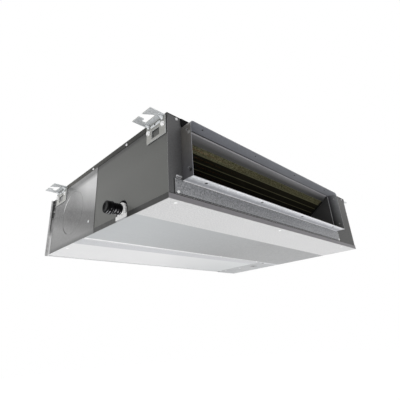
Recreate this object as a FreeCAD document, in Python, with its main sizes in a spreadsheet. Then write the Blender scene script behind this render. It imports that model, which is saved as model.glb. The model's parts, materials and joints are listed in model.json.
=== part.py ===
"""Slim ducted air conditioner indoor unit, hung under a ceiling by four slotted brackets.

Air enters at the rear through a return frame with a filter, two double-inlet fans on one motor
blow it forward through a slanted fin-and-tube coil, and it leaves by the rectangular collar in front.
All places are measured from the casing's front left lower corner: x to the right, y to the rear,
z up. The part's own origin is the centre of the casing's underside. Lengths are in millimetres.
"""
import FreeCAD, Part
import Sketcher
import math
import os
import re

SIZES = {
    # casing
    "casing_width": 900,
    "casing_depth": 600,
    "casing_height": 200,
    "sheet": 1,
    "lip": 14,
    "return_depth": 37,
    "fan_bay": 265,
    "seam_step": 42,
    "joggle": 12,
    "lap": 12,
    "hatch_margin": 135,
    "hatch_tail": 19,
    "tail_margin": 116,
    "panel_gap": 0.4,
    "service_width": 143,
    "liner": 6,
    "clearance": 0.3,
    "plate_slot_x": 50,
    "plate_slot_y": 74,
    "plate_slot_length": 24,
    "plate_slot_width": 6,
    # outlet
    "outlet_left": 39,
    "outlet_gap": 2,
    "outlet_bottom": 47,
    "outlet_head": 19,
    "collar_reach": 31,
    "collar_round": 10,
    "collar_flange": 9,
    "collar_shoulder": 1,
    "strip_left": 17.5,
    "strip_overhang": 15,
    "duct_hole": 2.2,
    "duct_hole_start": 49,
    "duct_hole_end": 67,
    "duct_hole_inset": 12,
    "duct_side_hole_low": 23,
    "duct_side_hole_high": 19,
    "foam": 3,
    "baffle_sheet": 1.5,
    # hangers
    "hanger_front": 4,
    "hanger_rear": 8,
    "hanger_fall": 4,
    "hanger_sheet": 2,
    "hanger_reach": 41,
    "hanger_length": 67,
    "hanger_drop": 45,
    "hanger_slot": 11,
    "hanger_slot_reach": 26.5,
    "hanger_slot_length": 35,
    "hanger_slot_start": 17,
    "hanger_lead": 13,
    "hanger_hook": 5,
    "hanger_mouth": 12,
    "hanger_window_start": 21,
    "hanger_window_length": 27,
    "hanger_window_low": 38,
    "hanger_window_height": 19.5,
    "gusset": 8,
    "gusset_thickness": 4,
    "gusset_inset": 8,
    "bolt_head": 5,
    "bolt_head_height": 4,
    "bolt_inset": 8,
    "bolt_drop": 25,
    # coil
    "coil_left": 24,
    "coil_gap": 2,
    "coil_top_y": 21.5,
    "coil_drop": 37.3,
    "coil_rise": 14.5,
    "tube_pitch": 19.05,
    "row_pitch": 13.3,
    "tube_radius": 3.5,
    "tube_bore_gap": 0.05,
    "bend_lead": 4,
    "fin_slot_pitch": 19,
    "fin_slot": 7,
    "fin_slot_depth": 2.4,
    "end_plate": 1.2,
    "gas_header_radius": 8,
    "gas_header_offset": 46,
    "liquid_header_radius": 5,
    "liquid_header_offset": 28,
    "gas_pipe_radius": 6.35,
    "gas_tap": 75,
    "liquid_pipe_radius": 3.175,
    "liquid_tap": 125,
    "pipe_reach": 45,
    "gas_nut": 13,
    "liquid_nut": 8.5,
    "nut_length": 20,
    "seal_wall": 4,
    "seal_length": 6,
    # drain
    "drain_y": 169,
    "drain_z": 25,
    "drain_arch": 46,
    "drain_arch_floor": 4,
    "pan_wall": 8,
    "pan_floor": 12,
    "pan_height": 44,
    "pan_front": 12,
    "pan_depth": 220,
    "pan_side_gap": 2,
    "spout_plate": 16,
    "spout_plate_rise": 1.5,
    "spout_foot": 9,
    "spout_radius": 11,
    "spout_bore": 8.5,
    "spout_waist": 1,
    "spout_reach": 27,
    "plug_neck_radius": 12.5,
    "plug_neck_length": 23.5,
    "plug_cap_radius": 14.5,
    "plug_cap_length": 14.5,
    "plug_end": 6,
    "plug_gap": 2,
    "plug_rib": 0.8,
    "plug_rib_width": 3,
    # fans
    "fan_back": 132,
    "fan_drop": 4,
    "fan_offset": 202,
    "wheel_side_gap": 8,
    "blade_depth": 12,
    "wheel_ring": 3,
    "wheel_disc": 2,
    "blade_thickness": 1,
    "blade_middle_lean": 2.2,
    "blade_tip_lean": 7.5,
    "hub_radius": 13,
    "hub_length": 24,
    "shaft_radius": 6.35,
    "shaft_gap": 0.05,
    "shaft_tail": 4,
    "housing_width": 180,
    "housing_wall": 2,
    "housing_growth": 5,
    "tongue_angle": 20,
    "tongue_gap": 8,
    "housing_gap": 7.11,
    "bell_height": 4,
    "bell_wall": 3,
    "motor_radius": 48,
    "motor_length": 92,
    "motor_boss": 18,
    "motor_boss_length": 6,
    "ring_thickness": 4,
    "band_offset": 28,
    "band_width": 16,
    "band_sheet": 1.5,
    "cradle_sheet": 2,
    "cradle_width": 90,
    "cradle_gap": 12,
    "cradle_lip": 8,
    # fresh air knock-out
    "knockout_shift": 4,
    "knockout_z": 94,
    "knockout_radius": 62.5,
    # return air
    "return_inset": 5,
    "return_drop": 17,
    "return_border": 16,
    "filter_thickness": 8,
    "filter_border": 10,
    "filter_gap": 2,
    "filter_bar": 3,
    "filter_bar_depth": 2.4,
    "mesh_thickness": 1,
    "slot_margin": 1,
    # electrical box
    "box_inset": 4,
    "box_length": 187,
    "box_rear_gap": 12,
    "box_floor": 3,
    "box_height": 92,
    "board_start": 70,
    "board_inset": 8,
    "board_thickness": 1.6,
    "board_standoff": 8,
    "standoff_radius": 3,
    "standoff_inset": 6,
    "terminal_inset": 20,
    "terminal_start": 10,
    "terminal_depth": 24,
    "terminal_height": 22,
    "terminal_rib": 3,
    "capacitor_x": 40,
    "capacitor_start": 38,
    "capacitor_radius": 16,
    "capacitor_length": 28,
    "grommet_start": 40,
    "grommet_pitch": 45,
    "grommet_radius": 11,
    "grommet_wall": 3,
    # screws
    "screw_head": 3.2,
    "screw_height": 1.6,
}

TUBES_PER_ROW = 10
ROWS = 2
BLADES = 20
BEND_STEPS = 4
TUBE_SIDES = 6
HOLE_SIDES = 8
SMALL_SIDES = 12
LARGE_SIDES = 20
ROUND_SIDES = 36
VOLUTE_STEPS = 18
SCREW_SIDES = 6
FILTER_CELLS = 11
TERMINALS = 6
DUCT_HOLES = 4
HAIR = 0.01

WIDTH = "casing_width"
HEIGHT = "casing_height"
DEPTH = "casing_depth"
BOX_REAR = "(casing_depth - return_depth)"
INSIDE = "(2 * sheet)"
UNDER_TOP = "(casing_height - sheet)"
UNDER_LINER = "(casing_height - sheet - liner)"
SERVICE = "(casing_width - service_width)"
HATCH_RIGHT = "(casing_width - hatch_margin)"
HATCH_REAR = "(casing_depth - hatch_tail)"
OUTLET_RIGHT = f"({SERVICE} - outlet_gap)"
OUTLET_TOP = "(casing_height - outlet_head)"
COLLAR_SEAM = f"({OUTLET_TOP} - collar_round - collar_shoulder)"
SIDE_SEAM = f"({BOX_REAR} - fan_bay)"
BOTTOM_SEAM = f"({SIDE_SEAM} + seam_step)"
STRIP_REAR = f"({BOTTOM_SEAM} + joggle)"
COIL_RIGHT = f"({SERVICE} - coil_gap)"
COIL_LENGTH = f"({TUBES_PER_ROW} * tube_pitch)"
COIL_DEPTH = f"({ROWS} * row_pitch)"
COIL_TOP = "(casing_height - coil_drop)"
COIL_LOW = "(sheet + pan_height + coil_rise)"
COIL_TILT = f"asin(({COIL_TOP} - {COIL_LOW}) / {COIL_LENGTH})"
FAN_MIDDLE = f"((2 * sheet + {SERVICE}) / 2)"
FAN_Y = f"({SIDE_SEAM} + fan_back)"
FAN_Z = "(casing_height / 2 - fan_drop)"
HOUSING_SPREAD = "(housing_growth * (270 - tongue_angle) / 90)"
HOUSING_TOP = f"({UNDER_LINER} - housing_gap)"
FIRST_REACH = f"({HOUSING_TOP} - {FAN_Z} - {HOUSING_SPREAD})"
WHEEL_RADIUS = f"({FIRST_REACH} - tongue_gap)"
WHEEL_EYE = f"({WHEEL_RADIUS} - blade_depth)"
WHEEL_WIDTH = "(housing_width - 2 * housing_wall - 2 * wheel_side_gap)"
OUTLET_LOW = f"({FAN_Z} - {FIRST_REACH} * sin(tongue_angle))"
CRADLE_TOP = f"({FAN_Z} - motor_radius - cradle_gap)"
KNOCKOUT_Y = f"({FAN_Y} + knockout_shift)"
PAN_LEFT = f"({INSIDE} + pan_side_gap)"
PAN_RIGHT = f"({SERVICE} - pan_side_gap)"
RETURN_TOP = "(casing_height - return_drop)"
FILTER_LEFT = "(return_inset + sheet + filter_gap)"
FILTER_RIGHT = "(casing_width - tail_margin - sheet - filter_gap)"
FILTER_FRONT = f"({HATCH_REAR} + filter_gap)"
HANGER_FACE = "(casing_height - hanger_fall - hanger_sheet)"
HANGER_REAR = f"({BOX_REAR} - hanger_rear - hanger_length)"
BOX_LEFT = f"({SERVICE} + sheet)"
BOX_RIGHT = "(casing_width - sheet - box_inset)"
BOX_BACK = f"({BOX_REAR} - 2 * sheet - box_rear_gap)"
BOX_FRONT = f"({BOX_BACK} - box_length)"
BOX_TOP = "(box_floor + box_height)"
BOX_CEILING = f"({BOX_TOP} - sheet)"

# the screws of the underside: those of the strip, then those that sit flush in the plates, as x and y
STRIP_SCREWS = [(x, f"{BOTTOM_SEAM} + 6") for x in ("47", "270", "436", "528", f"{HATCH_RIGHT} - 20")]
HATCH_SCREWS = (("12", f"{BOTTOM_SEAM} + 131"), ("14", f"{HATCH_REAR} - 10"))
PLATE_SCREWS = ((f"{HATCH_RIGHT} + 43", f"{BOTTOM_SEAM} + 10"), (f"{HATCH_RIGHT} + 37", f"{BOTTOM_SEAM} + 143"),
                (f"{HATCH_RIGHT} + 26", f"{BOX_REAR} - 7"))
TRAY_SCREWS = [(x, "14") for x in ("29", "406", f"{WIDTH} - 96")]

# the screws of the sides, as y and z, and those of the front, as x, z and the face they lie on
SIDE_SCREWS = (("drain_y - 13", f"{HEIGHT} - 10"), (f"{SIDE_SEAM} + 24", f"{HEIGHT} - 10"),
               (f"{SIDE_SEAM} + 29", "40"))
FRONT_SCREWS = (("outlet_left - 11.5", f"{HEIGHT} - 6", "sheet"), (f"{WIDTH} - 22", f"{HEIGHT} - 6", "sheet"),
                ("strip_left + 8", "19", "0"), (f"{OUTLET_RIGHT} + 8", "19", "0"))

# what stands on the control board: x, y, width, depth and height from the box's left front corner
BOARD_PARTS = {"relay": (14, 84, 30, 26, 24), "transformer": (60, 84, 18, 18, 16), "coil": (14, 124, 26, 30, 12)}

doc = FreeCAD.newDocument("DuctedIndoorUnit")
sheet = doc.addObject("Spreadsheet::Sheet", "Sizes")
for row, (alias, number) in enumerate(SIZES.items(), start=1):
    sheet.set(f"A{row}", alias)
    sheet.set(f"B{row}", str(number))
    sheet.setAlias(f"B{row}", alias)
ruler = doc.addObject("App::FeaturePython", "Ruler")
ruler.addProperty("App::PropertyFloat", "Reading")
doc.recompute()

nodes = {}


def size(alias):
    """The number that the sheet holds for one size."""
    return float(sheet.get(alias))


def formula(text):
    """An expression in which every size's name points at the sheet."""
    def cell(word):
        return f"Sizes.{word.group()}" if word.group() in SIZES else word.group()
    return re.sub(r"[a-z]\w*", cell, str(text))


def reading(text):
    """The value that a formula has with the sheet's present sizes."""
    ruler.setExpression("Reading", formula(text))
    ruler.recompute()
    return ruler.Reading


def place(item, x, y, z):
    """Put an item at a point measured from the casing's front left lower corner."""
    item.setExpression("Placement.Base.x", formula(f"{x} - casing_width / 2"))
    item.setExpression("Placement.Base.y", formula(f"{y} - casing_depth / 2"))
    item.setExpression("Placement.Base.z", formula(z))


def node(label, item):
    """Name a finished sub-part."""
    item.Label = label
    nodes[label] = item
    return item


def turn(item, axis):
    """Point an item's own +Z along one axis of the part."""
    if axis == "x":
        item.Placement = FreeCAD.Placement(FreeCAD.Vector(), FreeCAD.Rotation(FreeCAD.Vector(0, 1, 0), 90))
    if axis == "y":
        item.Placement = FreeCAD.Placement(FreeCAD.Vector(), FreeCAD.Rotation(FreeCAD.Vector(1, 0, 0), -90))


def block(x, y, z):
    """A block between two planes along each axis."""
    item = doc.addObject("Part::Box", "Block")
    for side, span in zip(("Length", "Width", "Height"), (x, y, z)):
        item.setExpression(side, formula(f"({span[1]}) - ({span[0]})"))
    place(item, x[0], y[0], z[0])
    return item


def rod(axis, centre, radius, span):
    """A round bar along one axis; centre holds the two other coordinates in x, y, z order."""
    item = doc.addObject("Part::Cylinder", "Rod")
    turn(item, axis)
    item.setExpression("Radius", formula(radius))
    item.setExpression("Height", formula(f"({span[1]}) - ({span[0]})"))
    where = list(centre)
    where.insert("xyz".index(axis), span[0])
    place(item, *where)
    return item


def prism(axis, centre, flat, span, sides):
    """A many-sided bar along one axis; flat is its radius to the middle of a side."""
    item = doc.addObject("Part::Prism", "Prism")
    turn(item, axis)
    item.Polygon = sides
    item.setExpression("Circumradius", formula(f"({flat}) / cos({180 / sides})"))
    item.setExpression("Height", formula(f"({span[1]}) - ({span[0]})"))
    where = list(centre)
    where.insert("xyz".index(axis), span[0])
    place(item, *where)
    return item


def joined(*items):
    """Several solids made into one."""
    item = doc.addObject("Part::MultiFuse", "Joined")
    item.Shapes = list(items)
    return item


def group(items):
    """Separate solids that share one node."""
    item = doc.addObject("Part::Compound", "Group")
    item.Links = list(items)
    return item


def cut(base, *tools):
    """A solid less one or more others."""
    item = doc.addObject("Part::Cut", "Cut")
    item.Base = base
    item.Tool = tools[0] if len(tools) == 1 else joined(*tools)
    return item


def body(label):
    """An empty body whose own origin is the casing's front left lower corner."""
    item = node(label, doc.addObject("PartDesign::Body", "Body"))
    place(item, 0, 0, 0)
    return item


def circle(u, v, radius):
    return ("circle", u, v, radius)


def polygon(u, v, flat, sides):
    """A regular loop round a centre; flat is its radius to the middle of a side."""
    corners = []
    for step in range(sides):
        angle = step * 360 / sides
        corners.append((f"{u} + ({flat}) / cos({180 / sides}) * cos({angle})",
                        f"{v} + ({flat}) / cos({180 / sides}) * sin({angle})"))
    return corners


def rectangle(u, v):
    """A loop between two values along each direction of a sketch."""
    return [(u[0], v[0]), (u[1], v[0]), (u[1], v[1]), (u[0], v[1])]


def fix_point(item, number, end, u, v):
    """Tie one point of a sketch to two formulas, measured from the sketch's origin."""
    for kind, text in (("DistanceX", u), ("DistanceY", v)):
        index = item.addConstraint(Sketcher.Constraint(kind, -1, 1, number, end, 1.0))
        item.setExpression(f"Constraints[{index}]", formula(text))


def draw_circle(item, u, v, radius):
    number = item.addGeometry(Part.Circle(FreeCAD.Vector(), FreeCAD.Vector(0, 0, 1), 1.0))
    fix_point(item, number, 3, u, v)
    index = item.addConstraint(Sketcher.Constraint("Radius", number, 1.0))
    item.setExpression(f"Constraints[{index}]", formula(radius))


def draw_polygon(item, points):
    first = item.GeometryCount
    count = len(points)
    corners = [FreeCAD.Vector(math.cos(step), math.sin(step), 0) for step in range(count)]
    for step in range(count):
        item.addGeometry(Part.LineSegment(corners[step], corners[(step + 1) % count]))
    for step, (u, v) in enumerate(points):
        item.addConstraint(Sketcher.Constraint("Coincident", first + step, 2, first + (step + 1) % count, 1))
        fix_point(item, first + step, 1, u, v)


PLANES = {"x": ("YZ_Plane", ""), "y": ("XZ_Plane", "-"), "z": ("XY_Plane", "")}


def sketch(owner, axis, start, loops):
    """A sketch across one axis of a body, at a stated place along that axis."""
    role, sign = PLANES[axis]
    plane = next(feature for feature in owner.Origin.OriginFeatures if feature.Role == role)
    item = owner.newObject("Sketcher::SketchObject", "Sketch")
    item.AttachmentSupport = [(plane, "")]
    item.MapMode = "FlatFace"
    item.setExpression("AttachmentOffset.Base.z", formula(f"{sign}({start})"))
    for loop in loops:
        if loop[0] == "circle":
            draw_circle(item, *loop[1:])
        else:
            draw_polygon(item, loop)
    return item


def pad(owner, axis, span, *loops):
    """Sheet or bar that runs from one plane to another along an axis."""
    item = owner.newObject("PartDesign::Pad", "Pad")
    item.Profile = sketch(owner, axis, span[0], loops)
    item.Reversed = axis == "y"
    item.setExpression("Length", formula(f"({span[1]}) - ({span[0]})"))
    return item


def pocket(owner, axis, span, *loops):
    """A cut from one plane to another along an axis."""
    item = owner.newObject("PartDesign::Pocket", "Pocket")
    item.Profile = sketch(owner, axis, span[0], loops)
    item.Reversed = axis != "y"
    item.setExpression("Length", formula(f"({span[1]}) - ({span[0]})"))
    return item


def solid_feature(label, shape, x="0", y="0", z="0"):
    """A sub-part or tool whose shape is worked out in this file, placed by formulas."""
    item = doc.addObject("Part::Feature", "Feature")
    item.Shape = shape
    place(item, x, y, z)
    if label:
        node(label, item)
    return item


def along_y(u, v):
    """The y of a point of the slanted coil: u down its slope, v through its thickness."""
    return f"(coil_top_y + ({u}) * cos({COIL_TILT}) + ({v}) * sin({COIL_TILT}))"


def along_z(u, v):
    """The z of a point of the slanted coil."""
    return f"({COIL_TOP} - ({u}) * sin({COIL_TILT}) + ({v}) * cos({COIL_TILT}))"


def on_coil(item):
    """Tilt an item that is modelled flat on to the coil's slope."""
    place(item, 0, "coil_top_y", COIL_TOP)
    item.Placement = FreeCAD.Placement(item.Placement.Base, FreeCAD.Rotation(FreeCAD.Vector(1, 0, 0), -1))
    item.setExpression("Placement.Rotation.Angle", formula(f"-{COIL_TILT}"))
    return item


def side_span(side, near, far):
    """Two planes counted inwards from the left or the right end of the casing."""
    if side == "left":
        return (near, far)
    return (f"{WIDTH} - ({far})", f"{WIDTH} - ({near})")


# casing

def top_panel():
    lid = body("top_panel")
    pad(lid, "y", ("0", BOX_REAR), [
        ("0", f"{HEIGHT} - lip"), ("sheet", f"{HEIGHT} - lip"), ("sheet", UNDER_TOP),
        (f"{WIDTH} - sheet", UNDER_TOP), (f"{WIDTH} - sheet", f"{HEIGHT} - lip"),
        (WIDTH, f"{HEIGHT} - lip"), (WIDTH, HEIGHT), ("0", HEIGHT)])
    inner_lip = rectangle((INSIDE, f"{WIDTH} - {INSIDE}"), (f"{HEIGHT} - lip", UNDER_TOP))
    pad(lid, "y", (INSIDE, "3 * sheet"), inner_lip)
    pad(lid, "y", (f"{BOX_REAR} - 2 * sheet", f"{BOX_REAR} - sheet"), inner_lip)


def bottom_front_panel():
    tray = body("bottom_front_panel")
    pad(tray, "y", ("0", SIDE_SEAM), [
        ("0", "0"), (WIDTH, "0"), (WIDTH, "lip"), (f"{WIDTH} - sheet", "lip"),
        (f"{WIDTH} - sheet", "sheet"), ("sheet", "sheet"), ("sheet", "lip"), ("0", "lip")])
    pad(tray, "y", (SIDE_SEAM, BOTTOM_SEAM), rectangle(("0", WIDTH), ("0", "sheet")))
    pad(tray, "y", ("0", "sheet"), rectangle(("sheet", f"{WIDTH} - sheet"), ("sheet", "lip")))
    pocket(tray, "x", ("0", "sheet"), rectangle(
        ("drain_y - drain_arch / 2", "drain_y + drain_arch / 2"), ("drain_arch_floor", "lip")))
    pocket(tray, "z", ("0", "sheet"), *screw_holes(TRAY_SCREWS))


def screw_holes(places):
    """The holes in which flush screws of the underside sit."""
    return [polygon(x, y, "screw_head + tube_bore_gap", SCREW_SIDES) for x, y in places]


def bottom_rear_panel():
    hatch = body("bottom_rear_panel")
    pad(hatch, "x", ("0", HATCH_RIGHT), rectangle((STRIP_REAR, HATCH_REAR), ("0", "sheet")))
    pad(hatch, "x", (INSIDE, f"{WIDTH} - {INSIDE}"), rectangle(
        (f"{BOTTOM_SEAM} - lap", f"{STRIP_REAR} + 2 * sheet"), ("sheet", "2 * sheet")))
    pocket(hatch, "z", ("0", "sheet"), *screw_holes(HATCH_SCREWS))


def bottom_right_plate():
    left = f"({HATCH_RIGHT} + panel_gap)"
    slot_x = f"{left} + plate_slot_x"
    slot_y = f"{BOTTOM_SEAM} + plate_slot_y"
    plate = body("bottom_right_plate")
    pad(plate, "z", ("0", "sheet"), [
        (left, f"{BOTTOM_SEAM} + panel_gap"), (WIDTH, f"{BOTTOM_SEAM} + panel_gap"), (WIDTH, DEPTH),
        (f"{WIDTH} - tail_margin", DEPTH), (f"{WIDTH} - tail_margin", BOX_REAR), (left, BOX_REAR)])
    pocket(plate, "z", ("0", "sheet"), *screw_holes(PLATE_SCREWS), rectangle(
        (slot_x, f"{slot_x} + plate_slot_length"), (slot_y, f"{slot_y} + plate_slot_width")))


def side_front(side):
    sheet_span = side_span(side, "sheet", INSIDE)
    panel = body(f"{side}_side_front")
    pad(panel, "x", sheet_span, rectangle((INSIDE, f"{SIDE_SEAM} + lap"), ("sheet", UNDER_TOP)))
    if side == "left":
        pocket(panel, "x", sheet_span, rectangle(
            ("drain_y - drain_arch / 2", "drain_y + drain_arch / 2"), ("sheet", "drain_z")))
        pocket(panel, "x", sheet_span, circle("drain_y", "drain_z", "drain_arch / 2"))
        return
    pocket(panel, "x", sheet_span,
           circle("drain_y", "drain_z", "spout_radius"),
           polygon(*gas_place(), "gas_pipe_radius + seal_wall", SMALL_SIDES),
           polygon(*liquid_place(), "liquid_pipe_radius + seal_wall", SMALL_SIDES))


def side_rear(side):
    sheet_span = side_span(side, "0", "sheet")
    panel = body(f"{side}_side_rear")
    pad(panel, "x", sheet_span, rectangle((SIDE_SEAM, BOX_REAR), ("sheet", f"{HEIGHT} - lip")))
    if side == "left":
        pocket(panel, "x", sheet_span, polygon(KNOCKOUT_Y, "knockout_z", "knockout_radius", ROUND_SIDES))
        return
    holes = [polygon(*grommet_place(step), "grommet_radius", HOLE_SIDES) for step in (0, 1)]
    pocket(panel, "x", sheet_span, *holes)


def grommet_place(step):
    return (f"({BOX_FRONT} + grommet_start + {step} * grommet_pitch)", "(box_floor + box_height / 2)")


def knockout():
    centre = (KNOCKOUT_Y, "knockout_z")
    node("fresh_air_knockout", prism("x", centre, "knockout_radius - clearance", ("0", "sheet"), ROUND_SIDES))


def front_panel():
    """A frame of two posts and two rails; the foam strip and the lower strip cover the joints."""
    sheet_span = ("sheet", INSIDE)
    full = ("sheet", UNDER_TOP)
    between = ("outlet_left", OUTLET_RIGHT)
    node("front_panel", group([
        block(("sheet", "outlet_left"), sheet_span, full),
        block((OUTLET_RIGHT, f"{WIDTH} - sheet"), sheet_span, full),
        block(between, sheet_span, ("sheet", "outlet_bottom")),
        block(between, sheet_span, (OUTLET_TOP, UNDER_TOP))]))


def rear_panel():
    panel = body("rear_panel")
    pad(panel, "y", (f"{BOX_REAR} - sheet", BOX_REAR),
        rectangle(("sheet", f"{WIDTH} - sheet"), ("2 * sheet", UNDER_TOP)),
        rectangle(("return_inset + return_border", f"{SERVICE} - return_border"),
                  ("return_border", f"{HEIGHT} - return_drop - return_border")))


def fan_partition():
    wall = body("fan_partition")
    span = (INSIDE, SERVICE)
    pad(wall, "x", span, rectangle((SIDE_SEAM, f"{SIDE_SEAM} + sheet"), ("sheet", UNDER_LINER)))
    pad(wall, "x", span, rectangle((f"{SIDE_SEAM} + sheet", STRIP_REAR), ("2 * sheet", "3 * sheet")))
    for hand in (-1, 1):
        middle = f"({FAN_MIDDLE} + {hand} * fan_offset)"
        inner = "(housing_width / 2 - housing_wall)"
        pocket(wall, "y", (SIDE_SEAM, f"{SIDE_SEAM} + sheet"), rectangle(
            (f"{middle} - {inner}", f"{middle} + {inner}"),
            (f"{OUTLET_LOW} + housing_wall", f"{HOUSING_TOP} - housing_wall")))


def service_partition():
    wall = body("service_partition")
    inset = "2 * sheet"
    corners = ((inset, inset), (f"{COIL_LENGTH} - {inset}", inset),
               (f"{COIL_LENGTH} - {inset}", f"{COIL_DEPTH} - {inset}"), (inset, f"{COIL_DEPTH} - {inset}"))
    pad(wall, "x", (SERVICE, f"{SERVICE} + sheet"),
        rectangle(("3 * sheet", f"{BOX_REAR} - 2 * sheet"), ("2 * sheet", UNDER_TOP)),
        [(along_y(u, v), along_z(u, v)) for u, v in corners],
        circle("drain_y", "drain_z", "spout_radius"))


def top_liner():
    foam = block((INSIDE, SERVICE), ("3 * sheet", f"{BOX_REAR} - 2 * sheet"), (UNDER_LINER, UNDER_TOP))
    node("top_insulation", foam)


# outlet

def outlet_collar():
    """Three folded sheets round the outlet, each with a brim behind the front panel."""
    node("outlet_collar", group([collar_top(), collar_wall("outlet_left", 1), collar_wall(OUTLET_RIGHT, -1)]))


def part_body():
    """An unnamed body that a group takes in."""
    item = doc.addObject("PartDesign::Body", "Body")
    place(item, 0, 0, 0)
    return item


def collar_top():
    """The upper sheet: it carries both bent corners and ends just below them."""
    brim = f"({HEIGHT} - lip - clearance)"
    arc = "(collar_round * (1 - cos(45)))"
    collar = part_body()
    walls = pad(collar, "y", ("-collar_reach", "3 * sheet"), [
        ("outlet_left", COLLAR_SEAM), ("outlet_left", OUTLET_TOP),
        (OUTLET_RIGHT, OUTLET_TOP), (OUTLET_RIGHT, COLLAR_SEAM),
        (f"{OUTLET_RIGHT} - sheet", COLLAR_SEAM), (f"{OUTLET_RIGHT} - sheet", f"{OUTLET_TOP} - sheet"),
        ("outlet_left + sheet", f"{OUTLET_TOP} - sheet"), ("outlet_left + sheet", COLLAR_SEAM)])
    left = reading("outlet_left")
    right = reading(OUTLET_RIGHT)
    top = reading(OUTLET_TOP)
    wall = reading("sheet")
    outer = rounded(collar, walls, ((left, top), (right, top)), "collar_round")
    rounded(collar, outer, ((left + wall, top - wall), (right - wall, top - wall)), "collar_round - sheet")
    pad(collar, "y", (INSIDE, "3 * sheet"), [
        ("outlet_left - collar_flange", COLLAR_SEAM), ("outlet_left - collar_flange", brim),
        (f"{OUTLET_RIGHT} + collar_flange", brim), (f"{OUTLET_RIGHT} + collar_flange", COLLAR_SEAM),
        (OUTLET_RIGHT, COLLAR_SEAM), (OUTLET_RIGHT, f"{OUTLET_TOP} - collar_round"),
        (f"{OUTLET_RIGHT} - {arc}", f"{OUTLET_TOP} - {arc}"), (f"{OUTLET_RIGHT} - collar_round", OUTLET_TOP),
        ("outlet_left + collar_round", OUTLET_TOP), (f"outlet_left + {arc}", f"{OUTLET_TOP} - {arc}"),
        ("outlet_left", f"{OUTLET_TOP} - collar_round"), ("outlet_left", COLLAR_SEAM)])
    pocket(collar, "z", (f"{OUTLET_TOP} - sheet", OUTLET_TOP),
           *[circle(x, "(duct_hole_inset - collar_reach)", "duct_hole") for x in duct_hole_places()])
    return collar


def collar_wall(outer, inward):
    """One side; outer is the x of its outer face and inward is the sign of x towards the middle."""
    inner = f"{outer} + ({inward}) * sheet"
    brim = f"{outer} - ({inward}) * collar_flange"
    wall = part_body()
    pad(wall, "z", ("(outlet_bottom + sheet)", COLLAR_SEAM), [
        (outer, "-collar_reach"), (inner, "-collar_reach"), (inner, "3 * sheet"),
        (brim, "3 * sheet"), (brim, INSIDE), (outer, INSIDE)])
    span = (outer, inner) if inward > 0 else (inner, outer)
    heights = ("outlet_bottom + duct_side_hole_low", f"{OUTLET_TOP} - duct_side_hole_high")
    pocket(wall, "x", span, *[polygon("(duct_hole_inset - collar_reach)", z, "duct_hole", HOLE_SIDES)
                              for z in heights])
    return wall


def rounded(owner, base, corners, radius):
    """Round the edges of a feature that run along y through stated points in x and z."""
    doc.recompute()
    names = []
    for number, edge in enumerate(base.Shape.Edges, start=1):
        for x, z in corners:
            if all(abs(vertex.X - x) < HAIR and abs(vertex.Z - z) < HAIR for vertex in edge.Vertexes):
                names.append(f"Edge{number}")
    item = owner.newObject("PartDesign::Fillet", "Round")
    item.Base = (base, names)
    item.setExpression("Radius", formula(radius))
    return item


def duct_hole_places():
    span = f"({OUTLET_RIGHT} - outlet_left - duct_hole_start - duct_hole_end)"
    return [f"outlet_left + duct_hole_start + {step} * {span} / {DUCT_HOLES - 1}" for step in range(DUCT_HOLES)]


def lower_front_strip():
    top = "(outlet_bottom + sheet)"
    strip = body("lower_front_strip")
    pad(strip, "y", ("0", "sheet"), rectangle(
        ("strip_left", f"{OUTLET_RIGHT} + strip_overhang"), ("lip + panel_gap", top)))
    pad(strip, "z", ("outlet_bottom", top), rectangle(("outlet_left", OUTLET_RIGHT), ("-collar_reach", INSIDE)))
    pocket(strip, "z", ("outlet_bottom", top), *[
        polygon(x, "(duct_hole_inset - collar_reach)", "duct_hole", HOLE_SIDES) for x in duct_hole_places()])


def front_foam_strip():
    foam = block(("outlet_left", OUTLET_RIGHT), ("sheet - foam", "sheet"),
                 (f"{OUTLET_TOP} + clearance", f"{HEIGHT} - sheet"))
    node("front_foam_strip", foam)


def coil_baffle():
    low_y = "(coil_top_y - clearance)"
    high_z = f"({OUTLET_TOP} - sheet - clearance)"
    baffle = body("coil_top_baffle")
    pad(baffle, "x", ("outlet_left + collar_round", f"{OUTLET_RIGHT} - collar_round"), [
        (INSIDE, f"{high_z} - baffle_sheet"), (low_y, COIL_TOP),
        (low_y, f"{COIL_TOP} + baffle_sheet"), (INSIDE, high_z)])


# hangers

def hanger(label, x, y, angle):
    """A folded bracket: a slotted plate that reaches outwards and a leg bolted to the side."""
    slot_end = "(hanger_slot_start + hanger_slot_length)"
    slot_inner = "(hanger_slot_reach - hanger_slot)"
    mouth = "(hanger_slot_start + hanger_lead)"
    window_low = "(-hanger_window_low)"
    bracket = node(label, doc.addObject("PartDesign::Body", "Body"))
    bracket.Placement = FreeCAD.Placement(FreeCAD.Vector(), FreeCAD.Rotation(FreeCAD.Vector(0, 0, 1), angle))
    place(bracket, x, y, HANGER_FACE)
    pad(bracket, "z", ("0", "hanger_sheet"), [
        ("0", "0"), ("-hanger_reach", "0"), ("-hanger_reach", mouth),
        (f"-{slot_inner} - hanger_hook", "hanger_slot_start"), (f"-{slot_inner}", "hanger_slot_start"),
        (f"-{slot_inner}", slot_end), ("-hanger_slot_reach", slot_end),
        ("-hanger_slot_reach", f"{mouth} + hanger_mouth"), ("-hanger_reach", f"{mouth} + hanger_mouth"),
        ("-hanger_reach", "hanger_length"), ("0", "hanger_length")])
    pad(bracket, "x", ("-hanger_sheet", "0"), rectangle(("0", "hanger_length"), ("-hanger_drop", "0")))
    pocket(bracket, "x", ("-hanger_sheet", "0"), rectangle(
        ("hanger_window_start", "hanger_window_start + hanger_window_length"),
        (window_low, f"{window_low} + hanger_window_height")))
    rib = [("-hanger_sheet", "0"), ("-hanger_sheet - gusset", "0"), ("-hanger_sheet", "-gusset")]
    for middle in ("gusset_inset", "(hanger_length - gusset_inset)"):
        pad(bracket, "y", (f"{middle} - gusset_thickness / 2", f"{middle} + gusset_thickness / 2"), rib)


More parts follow.
